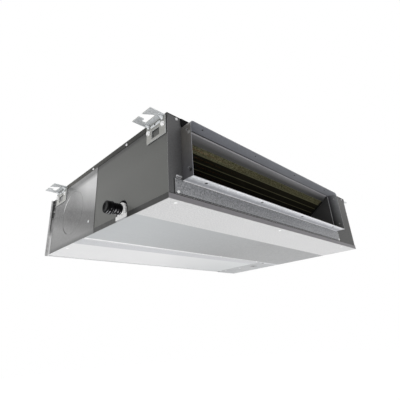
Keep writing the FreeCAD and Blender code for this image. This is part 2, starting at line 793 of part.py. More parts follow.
HANGERS = {
    "front_left_hanger": ("0", "hanger_front", 0),
    "rear_left_hanger": ("0", HANGER_REAR, 0),
    "front_right_hanger": (WIDTH, "hanger_front + hanger_length", 180),
    "rear_right_hanger": (WIDTH, f"{HANGER_REAR} + hanger_length", 180),
}


def hanger_bolts():
    heads = []
    for side in ("left", "right"):
        outer = side_span(side, "-hanger_sheet - bolt_head_height", "-hanger_sheet")
        for start in ("hanger_front", HANGER_REAR):
            for along in ("bolt_inset", "hanger_length - bolt_inset"):
                heads.append(prism("x", (f"{start} + {along}", f"{HEIGHT} - bolt_drop"), "bolt_head", outer, 6))
    node("hanger_bolts", group(heads))


# shapes worked out in this file

def along_x(points, start, length):
    """A bar with a flat outline, given as (y, z) corners, that runs along x."""
    corners = [FreeCAD.Vector(start, y, z) for y, z in points]
    face = Part.Face(Part.makePolygon(corners + corners[:1]))
    return face.extrude(FreeCAD.Vector(length, 0, 0))


def ngon(flat, sides, y=0.0, z=0.0):
    """The corners of a regular outline; flat is its radius to the middle of a side."""
    radius = flat / math.cos(math.pi / sides)
    angles = [step * 2 * math.pi / sides for step in range(sides)]
    return [(y + radius * math.cos(angle), z + radius * math.sin(angle)) for angle in angles]


def carried(outline, moves):
    """A solid drawn by carrying a flat outline along straight runs and round bends, one placement a step."""
    rings = [outline]
    for move in moves:
        rings.append([move.multVec(point) for point in rings[-1]])
    faces = [Part.Face(Part.makePolygon(ring + ring[:1])) for ring in (rings[0], rings[-1])]
    count = len(outline)
    for first, second in zip(rings, rings[1:]):
        for corner in range(count):
            after = (corner + 1) % count
            loop = [first[corner], first[after], second[after], second[corner], first[corner]]
            faces.append(Part.Face(Part.makePolygon(loop)))
    solid = Part.makeSolid(Part.makeShell(faces))
    if solid.Volume < 0:
        solid.reverse()
    return solid


# coil

def tube_centre(row, number):
    """The u and v of one tube of the coil."""
    return (number + 0.5) * size("tube_pitch"), (row + 0.5) * size("row_pitch")


def coil_ends():
    """The x of the fins' left and right ends."""
    return size("coil_left"), reading(COIL_RIGHT)


def fin_pack():
    """The front edges of the fins stand out of one block, and the tubes run through it."""
    left, right = coil_ends()
    length = TUBES_PER_ROW * size("tube_pitch")
    depth = ROWS * size("row_pitch")
    pack = Part.makeBox(right - left, length, depth, FreeCAD.Vector(left, 0, 0))
    flat = size("tube_radius") + size("tube_bore_gap")
    bores = []
    for row in range(ROWS):
        for number in range(TUBES_PER_ROW):
            outline = ngon(flat, TUBE_SIDES, *tube_centre(row, number))
            bores.append(along_x(outline, left, right - left))
    count = int((right - left) / size("fin_slot_pitch"))
    pitch = (right - left) / count
    slots = []
    for step in range(count):
        start = left + (step + 0.5) * pitch - size("fin_slot") / 2
        corner = FreeCAD.Vector(start, -HAIR, -HAIR)
        slots.append(Part.makeBox(size("fin_slot"), length + 2 * HAIR, size("fin_slot_depth") + HAIR, corner))
    shape = pack.cut(Part.makeCompound(slots)).cut(Part.makeCompound(bores))
    return on_coil(solid_feature("fin_pack", shape.Solids[0]))


def bend(x, first, second, facing):
    """The steps that turn a tube back from one (u, v) centre to another; facing is +1 to the right."""
    middle = FreeCAD.Vector(x, (first[0] + second[0]) / 2, (first[1] + second[1]) / 2)
    across = FreeCAD.Vector(0, second[0] - first[0], second[1] - first[1])
    axis = FreeCAD.Vector(facing, 0, 0).cross(across)
    turn_step = FreeCAD.Rotation(axis, 180 / BEND_STEPS)
    return [FreeCAD.Placement(FreeCAD.Vector(), turn_step, middle)] * BEND_STEPS


def coil_tubes():
    """Each circuit runs down and back in the front row, then down and back in the rear row."""
    left, right = coil_ends()
    left -= size("end_plate") + size("bend_lead")
    right += size("end_plate") + size("sheet") + size("bend_lead")
    leftward = FreeCAD.Placement(FreeCAD.Vector(left - right, 0, 0), FreeCAD.Rotation())
    rightward = FreeCAD.Placement(FreeCAD.Vector(right - left, 0, 0), FreeCAD.Rotation())
    solids = []
    for number in range(0, TUBES_PER_ROW, 2):
        front = [tube_centre(0, number), tube_centre(0, number + 1)]
        back = [tube_centre(1, number), tube_centre(1, number + 1)]
        outline = [FreeCAD.Vector(right, u, v) for u, v in ngon(size("tube_radius"), TUBE_SIDES, *front[0])]
        moves = [leftward] + bend(left, front[0], front[1], -1) + [rightward]
        moves += bend(right, front[1], back[1], 1)
        moves += [leftward] + bend(left, back[1], back[0], -1) + [rightward]
        solids.append(carried(outline, moves))
    return on_coil(solid_feature("coil_tubes", Part.makeCompound(solids)))


def end_plate(side):
    plate = node(f"coil_end_plate_{side}", doc.addObject("PartDesign::Body", "Body"))
    on_coil(plate)
    if side == "left":
        span = ("coil_left - end_plate", "coil_left")
        edge = (INSIDE, "coil_left")
    else:
        span = (COIL_RIGHT, f"{COIL_RIGHT} + end_plate")
        edge = (COIL_RIGHT, SERVICE)
    pad(plate, "x", span, rectangle(("-end_plate", f"{COIL_LENGTH} + end_plate"), ("0", COIL_DEPTH)))
    hole = pocket(plate, "x", span, *[polygon("tube_pitch / 2", f"({row} + 0.5) * row_pitch",
                                              "tube_radius + tube_bore_gap", TUBE_SIDES) for row in range(ROWS)])
    doc.recompute()
    pattern = plate.newObject("PartDesign::LinearPattern", "TubeHoles")
    pattern.Originals = [hole]
    pattern.Direction = (hole.Profile[0], ["H_Axis"])
    pattern.Occurrences = TUBES_PER_ROW
    pattern.setExpression("Length", formula(f"{TUBES_PER_ROW - 1} * tube_pitch"))
    plate.Tip = pattern
    for low in (("-end_plate", "0"), (COIL_LENGTH, f"{COIL_LENGTH} + end_plate")):
        pad(plate, "y", low, rectangle(edge, ("0", COIL_DEPTH)))


def gas_place():
    v = f"(({ROWS} - 0.5) * row_pitch)"
    return (along_y("gas_tap", v), along_z("gas_tap", v))


def liquid_place():
    v = "(0.5 * row_pitch)"
    return (along_y("liquid_tap", v), along_z("liquid_tap", v))


def header(label, radius, offset, row):
    """A collecting pipe down the coil's slope, with a stub to each circuit."""
    right = coil_ends()[1]
    base = right + size("end_plate") + size("sheet") + size("bend_lead")
    x = right + offset
    first = tube_centre(row, 0)
    last = tube_centre(row, TUBES_PER_ROW - 2)
    outline = [FreeCAD.Vector(x + across, first[0] - radius, first[1] + up)
               for across, up in ngon(radius, SMALL_SIDES)]
    along = FreeCAD.Placement(FreeCAD.Vector(0, last[0] - first[0] + 2 * radius, 0), FreeCAD.Rotation())
    stubs = []
    for number in range(0, TUBES_PER_ROW, 2):
        stubs.append(along_x(ngon(size("tube_radius"), TUBE_SIDES, *tube_centre(row, number)), base, x - base))
    return on_coil(solid_feature(label, carried(outline, [along]).multiFuse(stubs)))


def line_pipes():
    """Two copper lines that leave by the right side, each in a rubber seal, and end in a flare nut."""
    end = f"({WIDTH} + pipe_reach)"
    gas_start = f"({COIL_RIGHT} + gas_header_offset + gas_header_radius / cos({180 / SMALL_SIDES}))"
    liquid_start = f"({COIL_RIGHT} + liquid_header_offset + liquid_header_radius / cos({180 / SMALL_SIDES}))"
    node("gas_pipe", rod("x", gas_place(), "gas_pipe_radius", (gas_start, f"{end} - nut_length")))
    node("liquid_pipe", rod("x", liquid_place(), "liquid_pipe_radius", (liquid_start, f"{end} - nut_length")))
    nuts = [prism("x", gas_place(), "gas_nut", (f"{end} - nut_length", end), 6),
            prism("x", liquid_place(), "liquid_nut", (f"{end} - nut_length", end), 6)]
    node("flare_nuts", group(nuts))
    seal_span = (f"{WIDTH} - {INSIDE} - seal_length / 2", f"{WIDTH} - sheet + seal_length / 2")
    seals = []
    for centre, pipe in ((gas_place(), "gas_pipe_radius"), (liquid_place(), "liquid_pipe_radius")):
        outer = prism("x", centre, f"{pipe} + seal_wall - tube_bore_gap", seal_span, SMALL_SIDES)
        seals.append(cut(outer, prism("x", centre, f"{pipe} + tube_bore_gap", seal_span, SMALL_SIDES)))
    node("pipe_seals", group(seals))


# drain

def drain_pan():
    pan = body("drain_pan")
    pad(pan, "z", ("sheet", "sheet + pan_height"), rectangle(
        (PAN_LEFT, PAN_RIGHT), ("pan_front", "pan_front + pan_depth")))
    pocket(pan, "z", ("sheet + pan_floor", "sheet + pan_height"), rectangle(
        (f"{PAN_LEFT} + pan_wall", f"{PAN_RIGHT} - pan_wall"),
        ("pan_front + pan_wall", "pan_front + pan_depth - pan_wall")))
    bore = polygon("drain_y", "drain_z", "spout_bore", SMALL_SIDES)
    pocket(pan, "x", (PAN_LEFT, f"{PAN_LEFT} + pan_wall"), bore)
    pocket(pan, "x", (f"{PAN_RIGHT} - pan_wall", PAN_RIGHT), bore)


def drain_spout():
    """The white moulding in the arch of the left side: a foot, a round plate and the left drain pipe."""
    low = "(drain_arch_floor + clearance)"
    half = "(drain_arch / 2 - clearance)"
    top = "(drain_z + spout_plate_rise)"
    centre = ("drain_y", "drain_z")
    face = ("-sheet", PAN_LEFT)
    span = ("-spout_reach", PAN_LEFT)
    foot = block(face, (f"drain_y - {half}", f"drain_y + {half}"), (low, f"{low} + spout_foot"))
    plate = block(face, ("drain_y - spout_plate", "drain_y + spout_plate"), (low, top))
    dome = prism("x", ("drain_y", top), "spout_plate", face, ROUND_SIDES)
    pipe = prism("x", centre, "spout_radius", span, LARGE_SIDES)
    bore = prism("x", centre, "spout_bore", span, SMALL_SIDES)
    node("drain_spout_left", cut(joined(foot, plate, dome, pipe), bore))


def drain_pipe_right():
    """The open drain pipe: a spigot for a hose outside the casing, and a slimmer run inside it."""
    centre = ("drain_y", "drain_z")
    end = f"({WIDTH} + spout_reach)"
    run = prism("x", centre, "spout_radius - spout_waist", (PAN_RIGHT, WIDTH), LARGE_SIDES)
    spigot = rod("x", centre, "spout_radius", (WIDTH, end))
    bore = prism("x", centre, "spout_bore", (PAN_RIGHT, end), SMALL_SIDES)
    node("drain_pipe_right", cut(joined(run, spigot), bore))


def drain_plug():
    """A rubber cap over the left drain pipe: a neck, and a wider grip with a rim."""
    centre = ("drain_y", "drain_z")
    mouth = "(-sheet - plug_gap)"
    step = f"({mouth} - plug_neck_length)"
    end = f"({step} - plug_cap_length)"
    neck = prism("x", centre, "plug_neck_radius", (step, mouth), ROUND_SIDES)
    grip = prism("x", centre, "plug_cap_radius", (end, step), ROUND_SIDES)
    rim = prism("x", centre, "plug_cap_radius + plug_rib", (f"{step} - plug_rib_width", step), ROUND_SIDES)
    bore = prism("x", centre, "spout_radius + clearance", (f"{end} + plug_end", mouth), LARGE_SIDES)
    node("drain_plug", cut(joined(neck, grip, rim), bore))


# fans

def volute(shrink, reach):
    """The volute's outline: from the tongue it widens as it turns, then runs straight to the outlet."""
    start = size("tongue_angle")
    first = reading(FIRST_REACH)
    points = []
    for step in range(VOLUTE_STEPS + 1):
        angle = start + (270 - start) * step / VOLUTE_STEPS
        radius = first - shrink + size("housing_growth") * (angle - start) / 90
        around = math.radians(180 + angle)
        points.append((radius * math.cos(around), radius * math.sin(around)))
    points.append((-reach, points[-1][1]))
    points.append((-reach, shrink - first * math.sin(math.radians(start))))
    return points


def housing_shell():
    """One volute about its own axis, open to the front and round its two inlets."""
    width = size("housing_width")
    wall = size("housing_wall")
    reach = size("fan_back") - size("sheet")
    outer = along_x(volute(0, reach), -width / 2, width)
    inner = along_x(volute(wall, reach + wall), wall - width / 2, width - 2 * wall)
    eye = reading(WHEEL_EYE) + size("bell_wall")
    height = size("bell_height")
    bells = along_x(ngon(eye + size("bell_wall"), LARGE_SIDES), -width / 2 - height, width + 2 * height)
    shape = outer.fuse(bells).cut(inner)
    return shape.cut(along_x(ngon(eye, LARGE_SIDES), -width, 2 * width))


def housings():
    shell = housing_shell()
    bound = 2 * size("casing_depth")
    upper = Part.makeBox(bound, bound, bound, FreeCAD.Vector(-bound / 2, -bound / 2, 0))
    lower = Part.makeBox(bound, bound, bound, FreeCAD.Vector(-bound / 2, -bound / 2, -bound))
    for side, hand in (("left", -1), ("right", 1)):
        x = f"{FAN_MIDDLE} + {hand} * fan_offset"
        solid_feature(f"{side}_housing_upper", shell.common(upper), x, FAN_Y, FAN_Z)
        solid_feature(f"{side}_housing_lower", shell.common(lower), x, FAN_Y, FAN_Z)


def blade():
    """One forward-curved blade: a bent strip that leans further forward towards the rim."""
    inner = reading(WHEEL_EYE) / math.cos(math.pi / BLADES) + HAIR
    outer = reading(WHEEL_RADIUS) - HAIR
    thick = size("blade_thickness")
    bends = ((inner, 0.0), ((inner + outer) / 2, size("blade_middle_lean")), (outer, size("blade_tip_lean")))
    front = []
    back = []
    for radius, lean in bends:
        for side, extra in ((front, 0.0), (back, thick / radius)):
            angle = math.radians(lean) + extra
            side.append((radius * math.cos(angle), radius * math.sin(angle)))
    width = reading(WHEEL_WIDTH)
    return along_x(front + back[::-1], HAIR - width / 2, width - 2 * HAIR)


def wheel_shape():
    """A double-inlet wheel: two rims, a centre disc with its hub, and forward-curved blades."""
    width = reading(WHEEL_WIDTH)
    ring = size("wheel_ring")
    disc = size("wheel_disc")
    hub = size("hub_length")
    rim = ngon(reading(WHEEL_RADIUS), BLADES)
    eye = ngon(reading(WHEEL_EYE), BLADES)
    pieces = [along_x(rim, -disc / 2, disc),
              along_x(ngon(size("hub_radius"), SMALL_SIDES), -hub / 2, hub)]
    for start in (-width / 2, width / 2 - ring):
        pieces.append(along_x(rim, start, ring).cut(along_x(eye, start, ring)))
    first = blade()
    for number in range(BLADES):
        turned = first.copy()
        turned.rotate(FreeCAD.Vector(), FreeCAD.Vector(1, 0, 0), number * 360 / BLADES)
        pieces.append(turned)
    shape = pieces[0].multiFuse(pieces[1:])
    bore = size("shaft_radius") + size("shaft_gap")
    return shape.cut(along_x(ngon(bore, SMALL_SIDES), -width, 2 * width))


def wheels():
    shape = wheel_shape()
    for side, hand in (("left", -1), ("right", 1)):
        solid_feature(f"{side}_fan_wheel", shape.copy(), f"{FAN_MIDDLE} + {hand} * fan_offset", FAN_Y, FAN_Z)


def motor():
    centre = (FAN_Y, FAN_Z)
    half = "(motor_length / 2)"
    drum = prism("x", centre, "motor_radius", (f"{FAN_MIDDLE} - {half}", f"{FAN_MIDDLE} + {half}"), LARGE_SIDES)
    boss_half = f"({half} + motor_boss_length)"
    boss_span = (f"{FAN_MIDDLE} - {boss_half}", f"{FAN_MIDDLE} + {boss_half}")
    boss = prism("x", centre, "motor_boss", boss_span, SMALL_SIDES)
    hole = prism("x", centre, "shaft_radius + shaft_gap", boss_span, SMALL_SIDES)
    node("fan_motor", cut(joined(drum, boss), hole))
    reach = "(fan_offset + hub_length / 2 + shaft_tail)"
    node("motor_shaft", rod("x", centre, "shaft_radius", (f"{FAN_MIDDLE} - {reach}", f"{FAN_MIDDLE} + {reach}")))


def motor_bands():
    """Two clamps: rubber rings in the bands, and the saddles that carry them on the cradle."""
    bands = []
    rings = []
    inner = "(motor_radius + shaft_gap)"
    seat = "(motor_radius + ring_thickness)"
    for hand in (-1, 1):
        start = f"({FAN_MIDDLE} + {hand} * band_offset - band_width / 2)"
        span = (start, f"{start} + band_width")
        centre = (FAN_Y, FAN_Z)
        ring = cut(prism("x", centre, seat, span, LARGE_SIDES), prism("x", centre, inner, span, LARGE_SIDES))
        saddle = block(span, (f"{FAN_Y} - motor_radius / 2", f"{FAN_Y} + motor_radius / 2"), (CRADLE_TOP, FAN_Z))
        strap = prism("x", centre, f"{seat} + band_sheet", span, LARGE_SIDES)
        rings.append(ring)
        bands.append(cut(joined(strap, saddle), prism("x", centre, seat, span, LARGE_SIDES)))
    node("motor_rubber_rings", group(rings))
    node("motor_bands", group(bands))


def motor_cradle():
    """A folded shelf that hangs off the fan partition and carries the motor."""
    span = (f"{FAN_MIDDLE} - cradle_width / 2", f"{FAN_MIDDLE} + cradle_width / 2")
    shelf = body("motor_cradle")
    front = f"({SIDE_SEAM} + sheet)"
    back = f"({FAN_Y} + motor_radius)"
    pad(shelf, "x", span, [
        (front, FAN_Z), (f"{front} + cradle_sheet", FAN_Z), (f"{front} + cradle_sheet", CRADLE_TOP),
        (back, CRADLE_TOP), (back, f"{CRADLE_TOP} - cradle_lip"),
        (f"{back} - cradle_sheet", f"{CRADLE_TOP} - cradle_lip"),
        (f"{back} - cradle_sheet", f"{CRADLE_TOP} - cradle_sheet"),
        (front, f"{CRADLE_TOP} - cradle_sheet")])


# return air

def return_frame():
    """The open frame behind the casing that takes the return duct and holds the filter."""
    left = "return_inset"
    right = f"{WIDTH} - return_inset"
    divider = f"({WIDTH} - tail_margin)"
    frame = body("return_frame")
    pad(frame, "y", (BOX_REAR, DEPTH),
        rectangle((left, right), ("sheet", RETURN_TOP)),
        rectangle((f"{left} + sheet", f"{divider} - sheet"), ("2 * sheet", f"{RETURN_TOP} - sheet")),
        rectangle((divider, f"{right} - sheet"), ("2 * sheet", f"{RETURN_TOP} - sheet")))
    pocket(frame, "z", ("sheet", "2 * sheet"), rectangle(
        (f"{FILTER_LEFT} - slot_margin", f"{FILTER_RIGHT} + slot_margin"),
        (f"{FILTER_FRONT} - slot_margin", f"{FILTER_FRONT} + filter_thickness + slot_margin")))


def filter_guides():
    """Two folded strips on each side that the filter slides between."""
    strips = []
    rear = f"{FILTER_FRONT} + filter_thickness + clearance"
    for span in ((f"{FILTER_LEFT} - filter_gap", f"{FILTER_LEFT} + filter_border - slot_margin"),
                 (f"{FILTER_RIGHT} - filter_border + slot_margin", f"{FILTER_RIGHT} + filter_gap")):
        for start in (f"{FILTER_FRONT} - clearance - sheet", rear):
            strips.append(block(span, (start, f"{start} + sheet"), ("2 * sheet", f"{RETURN_TOP} - sheet")))
    node("filter_guides", group(strips))


def air_filter():
    """A plastic frame with upright bars, and the mesh behind them."""
    low = "(2 * sheet + filter_border)"
    high = f"({RETURN_TOP} - 2 * sheet - filter_border)"
    left = f"({FILTER_LEFT} + filter_border)"
    right = f"({FILTER_RIGHT} - filter_border)"
    bar_rear = f"({FILTER_FRONT} + filter_bar_depth)"
    frame = body("filter_frame")
    pad(frame, "y", (FILTER_FRONT, f"{FILTER_FRONT} + filter_thickness"),
        rectangle((FILTER_LEFT, FILTER_RIGHT), (f"{low} - filter_border", f"{high} + filter_border")),
        rectangle((left, right), (low, high)))
    bars = []
    for number in range(1, FILTER_CELLS):
        middle = f"({left} + {number} * ({right} - {left}) / {FILTER_CELLS})"
        bars.append(rectangle((f"{middle} - filter_bar / 2", f"{middle} + filter_bar / 2"),
                              (f"{low} - slot_margin", f"{high} + slot_margin")))
    pad(frame, "y", (FILTER_FRONT, bar_rear), *bars)
    node("filter_mesh", block((left, right), (bar_rear, f"{bar_rear} + mesh_thickness"), (low, high)))


# electrical box

def electrical_box():
    """A tray on the service partition, open to the plate below it."""
    tray = body("electrical_box")
    pad(tray, "z", ("box_floor", BOX_TOP), rectangle((BOX_LEFT, BOX_RIGHT), (BOX_FRONT, BOX_BACK)))
    pocket(tray, "z", ("box_floor", BOX_CEILING), rectangle(
        (f"{BOX_LEFT} + sheet", f"{BOX_RIGHT} - sheet"), (f"{BOX_FRONT} + sheet", f"{BOX_BACK} - sheet")))
    holes = [polygon(*grommet_place(step), "grommet_radius - grommet_wall", HOLE_SIDES) for step in (0, 1)]
    pocket(tray, "x", (f"{BOX_RIGHT} - sheet", BOX_RIGHT), *holes)


def control_board():
    top = f"({BOX_CEILING} - board_standoff)"
    under = f"({top} - board_thickness)"
    left = f"({BOX_LEFT} + board_inset)"
    right = f"({BOX_RIGHT} - board_inset)"
    rear = f"({BOX_BACK} - board_inset)"
    parts = [block((left, right), (f"{BOX_FRONT} + board_start", rear), (under, top))]
    for x, y, wide, deep, tall in BOARD_PARTS.values():
        parts.append(block((f"{BOX_LEFT} + {x}", f"{BOX_LEFT} + {x + wide}"),
                           (f"{BOX_FRONT} + {y}", f"{BOX_FRONT} + {y + deep}"), (f"{under} - {tall}", under)))
    for x in (f"{left} + standoff_inset", f"{right} - standoff_inset"):
        for y in (f"{BOX_FRONT} + board_start + standoff_inset", f"{rear} - standoff_inset"):
            parts.append(prism("z", (x, y), "standoff_radius", (top, BOX_CEILING), SCREW_SIDES))
    node("control_board", joined(*parts))


def terminal_block():
    left = f"({BOX_LEFT} + terminal_inset)"
    right = f"({BOX_RIGHT} - terminal_inset)"
    low = f"({BOX_CEILING} - terminal_height)"
    front = f"({BOX_FRONT} + terminal_start)"
    base = block((left, right), (front, f"{front} + terminal_depth"), (low, BOX_CEILING))
    pitch = f"(({right} - {left} - terminal_rib) / {TERMINALS})"
    cells = []
    for number in range(TERMINALS):
        start = f"({left} + terminal_rib + {number} * {pitch})"
        cells.append(block((start, f"{start} + {pitch} - terminal_rib"),
                           (f"{front} + terminal_rib", f"{front} + terminal_depth - terminal_rib"),
                           (low, f"{low} + terminal_height / 3")))
    node("terminal_block", cut(base, *cells))


def run_capacitor():
    centre = (f"{BOX_LEFT} + capacitor_x", f"{BOX_CEILING} - capacitor_radius / cos({180 / LARGE_SIDES})")
    span = (f"{BOX_FRONT} + capacitor_start", f"{BOX_FRONT} + capacitor_start + capacitor_length")
    node("run_capacitor", prism("y", centre, "capacitor_radius", span, LARGE_SIDES))


def cable_grommets():
    rings = []
    for step in (0, 1):
        centre = grommet_place(step)
        outer = prism("x", centre, "grommet_radius - tube_bore_gap", (f"{WIDTH} - sheet", WIDTH), HOLE_SIDES)
        flange = prism("x", centre, "grommet_radius + grommet_wall", (WIDTH, f"{WIDTH} + 2 * sheet"), HOLE_SIDES)
        hole = prism("x", centre, "grommet_radius - grommet_wall",
                     (f"{WIDTH} - sheet", f"{WIDTH} + 2 * sheet"), HOLE_SIDES)
        rings.append(cut(joined(outer, flange), hole))
    node("cable_grommets", group(rings))


# fasteners

def screw(axis, centre, face, outward):
    """A pan head that lies on a face; outward is +1 or -1 along the axis."""
    far = f"{face} + ({outward}) * screw_height"
    return prism(axis, centre, "screw_head", (face, far) if outward > 0 else (far, face), SCREW_SIDES)


def casing_screws():
    heads = []
    for face, outward in (("0", -1), (WIDTH, 1)):
        for y, z in SIDE_SCREWS:
            heads.append(screw("x", (y, z), face, outward))
    node("side_screws", group(heads))
    node("front_screws", group([screw("y", (x, z), face, -1) for x, z, face in FRONT_SCREWS]))
    places = [*STRIP_SCREWS, *TRAY_SCREWS, *HATCH_SCREWS, *PLATE_SCREWS]
    node("bottom_screws", group([prism("z", point, "screw_head", ("0", "sheet"), SCREW_SIDES)
                                 for point in places]))


def main():
    top_panel()
    bottom_front_panel()
    bottom_rear_panel()
    bottom_right_plate()
    for side in ("left", "right"):
        side_front(side)
        side_rear(side)
        end_plate(side)
    knockout()
    front_panel()
    rear_panel()
    fan_partition()
    service_partition()
    top_liner()
    outlet_collar()
    lower_front_strip()
    front_foam_strip()
    coil_baffle()
    for label, (x, y, angle) in HANGERS.items():
        hanger(label, x, y, angle)
    hanger_bolts()
    fin_pack()
    coil_tubes()
    header("gas_header", size("gas_header_radius"), size("gas_header_offset"), ROWS - 1)
    header("liquid_header", size("liquid_header_radius"), size("liquid_header_offset"), 0)
    line_pipes()
    drain_pan()
    drain_spout()
    drain_pipe_right()
    drain_plug()
    housings()
    wheels()
    motor()
    motor_bands()
    motor_cradle()
    return_frame()
    filter_guides()
    air_filter()
    electrical_box()
    control_board()
    terminal_block()
    run_capacitor()
    cable_grommets()
    casing_screws()
    doc.recompute()
    check()
    write()


def check():
    """Every object is sound, and every cut has taken something away."""
    for item in doc.Objects:
        if "Invalid" in item.State or "Error" in item.State:
            raise RuntimeError(f"{item.Label} ({item.Name}) failed: {item.State}")
        if item.TypeId == "PartDesign::Pocket" and item.Shape.Volume >= item.BaseFeature.Shape.Volume - HAIR:
            raise RuntimeError(f"{item.Label} ({item.Name}) cuts nothing")
    for label, item in nodes.items():
        if item.Shape.isNull() or not item.Shape.isValid() or not item.Shape.Solids:
            raise RuntimeError(f"{label} has no sound solid")


def write():
    os.makedirs("parts", exist_ok=True)
    for label, item in nodes.items():
        item.Shape.exportStep(f"parts/{label}.step")
    print(len(nodes), "sub-parts written")


main()
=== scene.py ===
"""Looks of the ducted indoor unit: sheet, plastic and rubber finishes, fins, fasteners, light and camera.

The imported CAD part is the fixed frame: its nodes stay where they are and get finished materials,
and small forms that the solids leave plain are modelled here on the places that the nodes give.
Lengths are in metres: +X to the right seen from the outlet, +Y to the return side, +Z up.
"""

import json
import math

import bmesh
import bpy
from mathutils import Matrix, Vector

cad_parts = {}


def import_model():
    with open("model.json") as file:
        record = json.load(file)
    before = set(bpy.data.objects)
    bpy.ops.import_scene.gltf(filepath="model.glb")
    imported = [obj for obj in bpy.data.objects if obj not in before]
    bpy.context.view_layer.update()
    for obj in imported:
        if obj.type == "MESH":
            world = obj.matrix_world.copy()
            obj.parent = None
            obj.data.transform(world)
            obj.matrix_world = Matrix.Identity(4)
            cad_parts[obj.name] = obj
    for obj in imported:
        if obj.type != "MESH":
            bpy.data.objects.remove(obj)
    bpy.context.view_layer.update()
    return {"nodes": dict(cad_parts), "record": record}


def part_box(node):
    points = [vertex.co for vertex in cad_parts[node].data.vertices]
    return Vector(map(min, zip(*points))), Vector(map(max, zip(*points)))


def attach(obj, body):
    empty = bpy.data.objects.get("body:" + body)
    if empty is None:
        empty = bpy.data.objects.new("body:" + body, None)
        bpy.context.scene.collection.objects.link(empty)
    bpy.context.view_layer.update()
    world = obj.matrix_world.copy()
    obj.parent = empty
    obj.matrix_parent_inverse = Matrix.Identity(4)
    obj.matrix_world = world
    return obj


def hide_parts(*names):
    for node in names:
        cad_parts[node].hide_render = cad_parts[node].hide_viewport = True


MM = 0.001
WHITE = (1, 1, 1, 1)

# corners of a mesh that are nearer than this are one
SAME_POINT = 0.001 * MM

# rounded edges: split corners this near are joined first, and only edges sharper than this are rounded
WELD_REACH = 0.01 * MM
SHARP_EDGE = math.radians(40)

# the coil: its tilt, its depth, its rows of tubes, and the fins' ridges and spacing
COIL_TILT = math.radians(32.8)
COIL_DEPTH = 26.6 * MM
COIL_ROWS = 10
TUBE_PITCH = 19.05 * MM
RIDGE = 1.2 * MM
RECESS = 1.6 * MM
FIN_PITCH = 2.1 * MM
FIN_SHEET = 0.35 * MM

# the hangers: their sheet, the gusset at each end of the bend, and the long bead on the leg with a spot of
# painted shade for its hole
HANGERS = ("front_left_hanger", "rear_left_hanger", "front_right_hanger", "rear_right_hanger")
HANGER_SHEET = 2 * MM
GUSSET_INSET = 9 * MM
GUSSET_WIDTH = 8 * MM
GUSSET_REACH = 11 * MM
GUSSET_STEPS = 10
BEAD_INSET = 1.8 * GUSSET_INSET
BEAD_DROP = 8 * MM
BEAD_WIDTH = 7 * MM
BEAD_RISE = 2.2 * MM
BEAD_STEPS = 8
BEAD_HOLE_DEPTH = 3 * MM
BEAD_HOLE_DROP = 10 * MM
BEAD_HOLE_RADIUS = 3 * MM

# the duct's screw holes: how far they are inside the collar's mouth and under its top, their radius,
# the spot of painted shade round each, and the dark discs behind them that stand for the shade seen through
# them
HOLE_INSET = 12 * MM
COLLAR_HEAD = 4.7 * MM
HOLE_RADIUS = 2.2 * MM
HOLE_SHADOW = 4.2 * MM
SHADE_RADIUS = 2.1 * MM
SHADE_SHEET = 0.3 * MM

# the curled tab at the lower strip's left end
TAB_INSET = 2 * MM
TAB_ROOT = -299.5 * MM
TAB_RADIUS = 3.2 * MM
TAB_SHEET = 0.8 * MM
TAB_WIDTH = 12 * MM
TAB_STEPS = 12
TAB_STEP_DEGREES = 25

# the return frame's turned left edge
EDGE_SHEET = 1 * MM
EDGE_LIP = 7 * MM

# the rings of painted glints on the drain cap
GLINT_PITCH = 6.2 * MM

# how many sides each turned form has
SCREW_SIDES = 16
WASHER_SIDES = 28
BOLT_SIDES = 6
CAP_SIDES = 48
RING_SIDES = 96
HOLE_SIDES = 24

# the painted reflection on the tray changes tone along a line that runs across the unit, slightly slanted
REFLECTION_LINE = -178 * MM
REFLECTION_SLOPE = 0.02

# the dark valley of the painted reflection on the rear side sheets: its height at the unit's middle, and
# its climb
VALLEY_HEIGHT = 41 * MM
VALLEY_SLOPE = 0.32

# how near an outer edge is worn bright and given a painted highlight, and how near other faces shut the
# light out for painted shade
EDGE_REACH = 0.7 * MM
NOOK_REACH = 5 * MM

# how far the painted highlight round a screw in the underside reaches from its middle
SCREW_HIGHLIGHT_REACH = 4.4 * MM

# the surroundings: their even light, and a floor that glows to the eye, more so far away
AMBIENT = 0.45
FLOOR_HEIGHT = -1.3
FLOOR_RADIUS = 12
GLOW_START, GLOW_END = 2.0, 7.0
GLOW_NEAR, GLOW_FAR = 0.3, 0.75

# each lamp's place, the point that it faces, its width and its strength
LAMPS = {
    "lamp_below": ((-0.1, -0.3, -1.2), (0, 0, 0), 2.2, 1.1),
    "lamp_above": ((0.3, 0.4, 2.0), (0, 0, 0.1), 2.2, 1.5),
    "lamp_behind": ((0.6, 2.2, 0.6), (0, 0.2, 0.1), 1.8, 1.5),
    "lamp_right": ((2.3, 0.9, 0.5), (0.2, 0, 0.1), 1.6, 1.2),
    "lamp_left": ((-2.5, -0.6, 0.0), (-0.4, 0, 0.1), 1.6, 1.2),
    "lamp_gloss": ((-1.75, 2.6, 1.35), (-0.45, 0.0, 0.16), 1.3, 0.7),
}

# the camera of the photograph
CAMERA_PLACE = (-0.82295, -0.74910, -0.23018)
CAMERA_TURN = math.radians(-46.223)
CAMERA_LIFT = math.radians(-23.594)
CAMERA_ROLL = math.radians(-3.984)
SENSOR_WIDTH = 36
LENS = 29.294
SHIFT_X = -0.0064
SHIFT_Y = -0.0388
CLIP_START = 10 * MM

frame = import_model()
nodes = frame["nodes"]


# colours and node graphs

def tone(code):
    """A colour written as six hexadecimal digits, as linear red, green, blue and full opacity."""
    channels = [int(code[start:start + 2], 16) / 255 for start in (0, 2, 4)]
    return (*[c / 12.92 if c <= 0.04045 else ((c + 0.055) / 1.055) ** 2.4 for c in channels], 1.0)


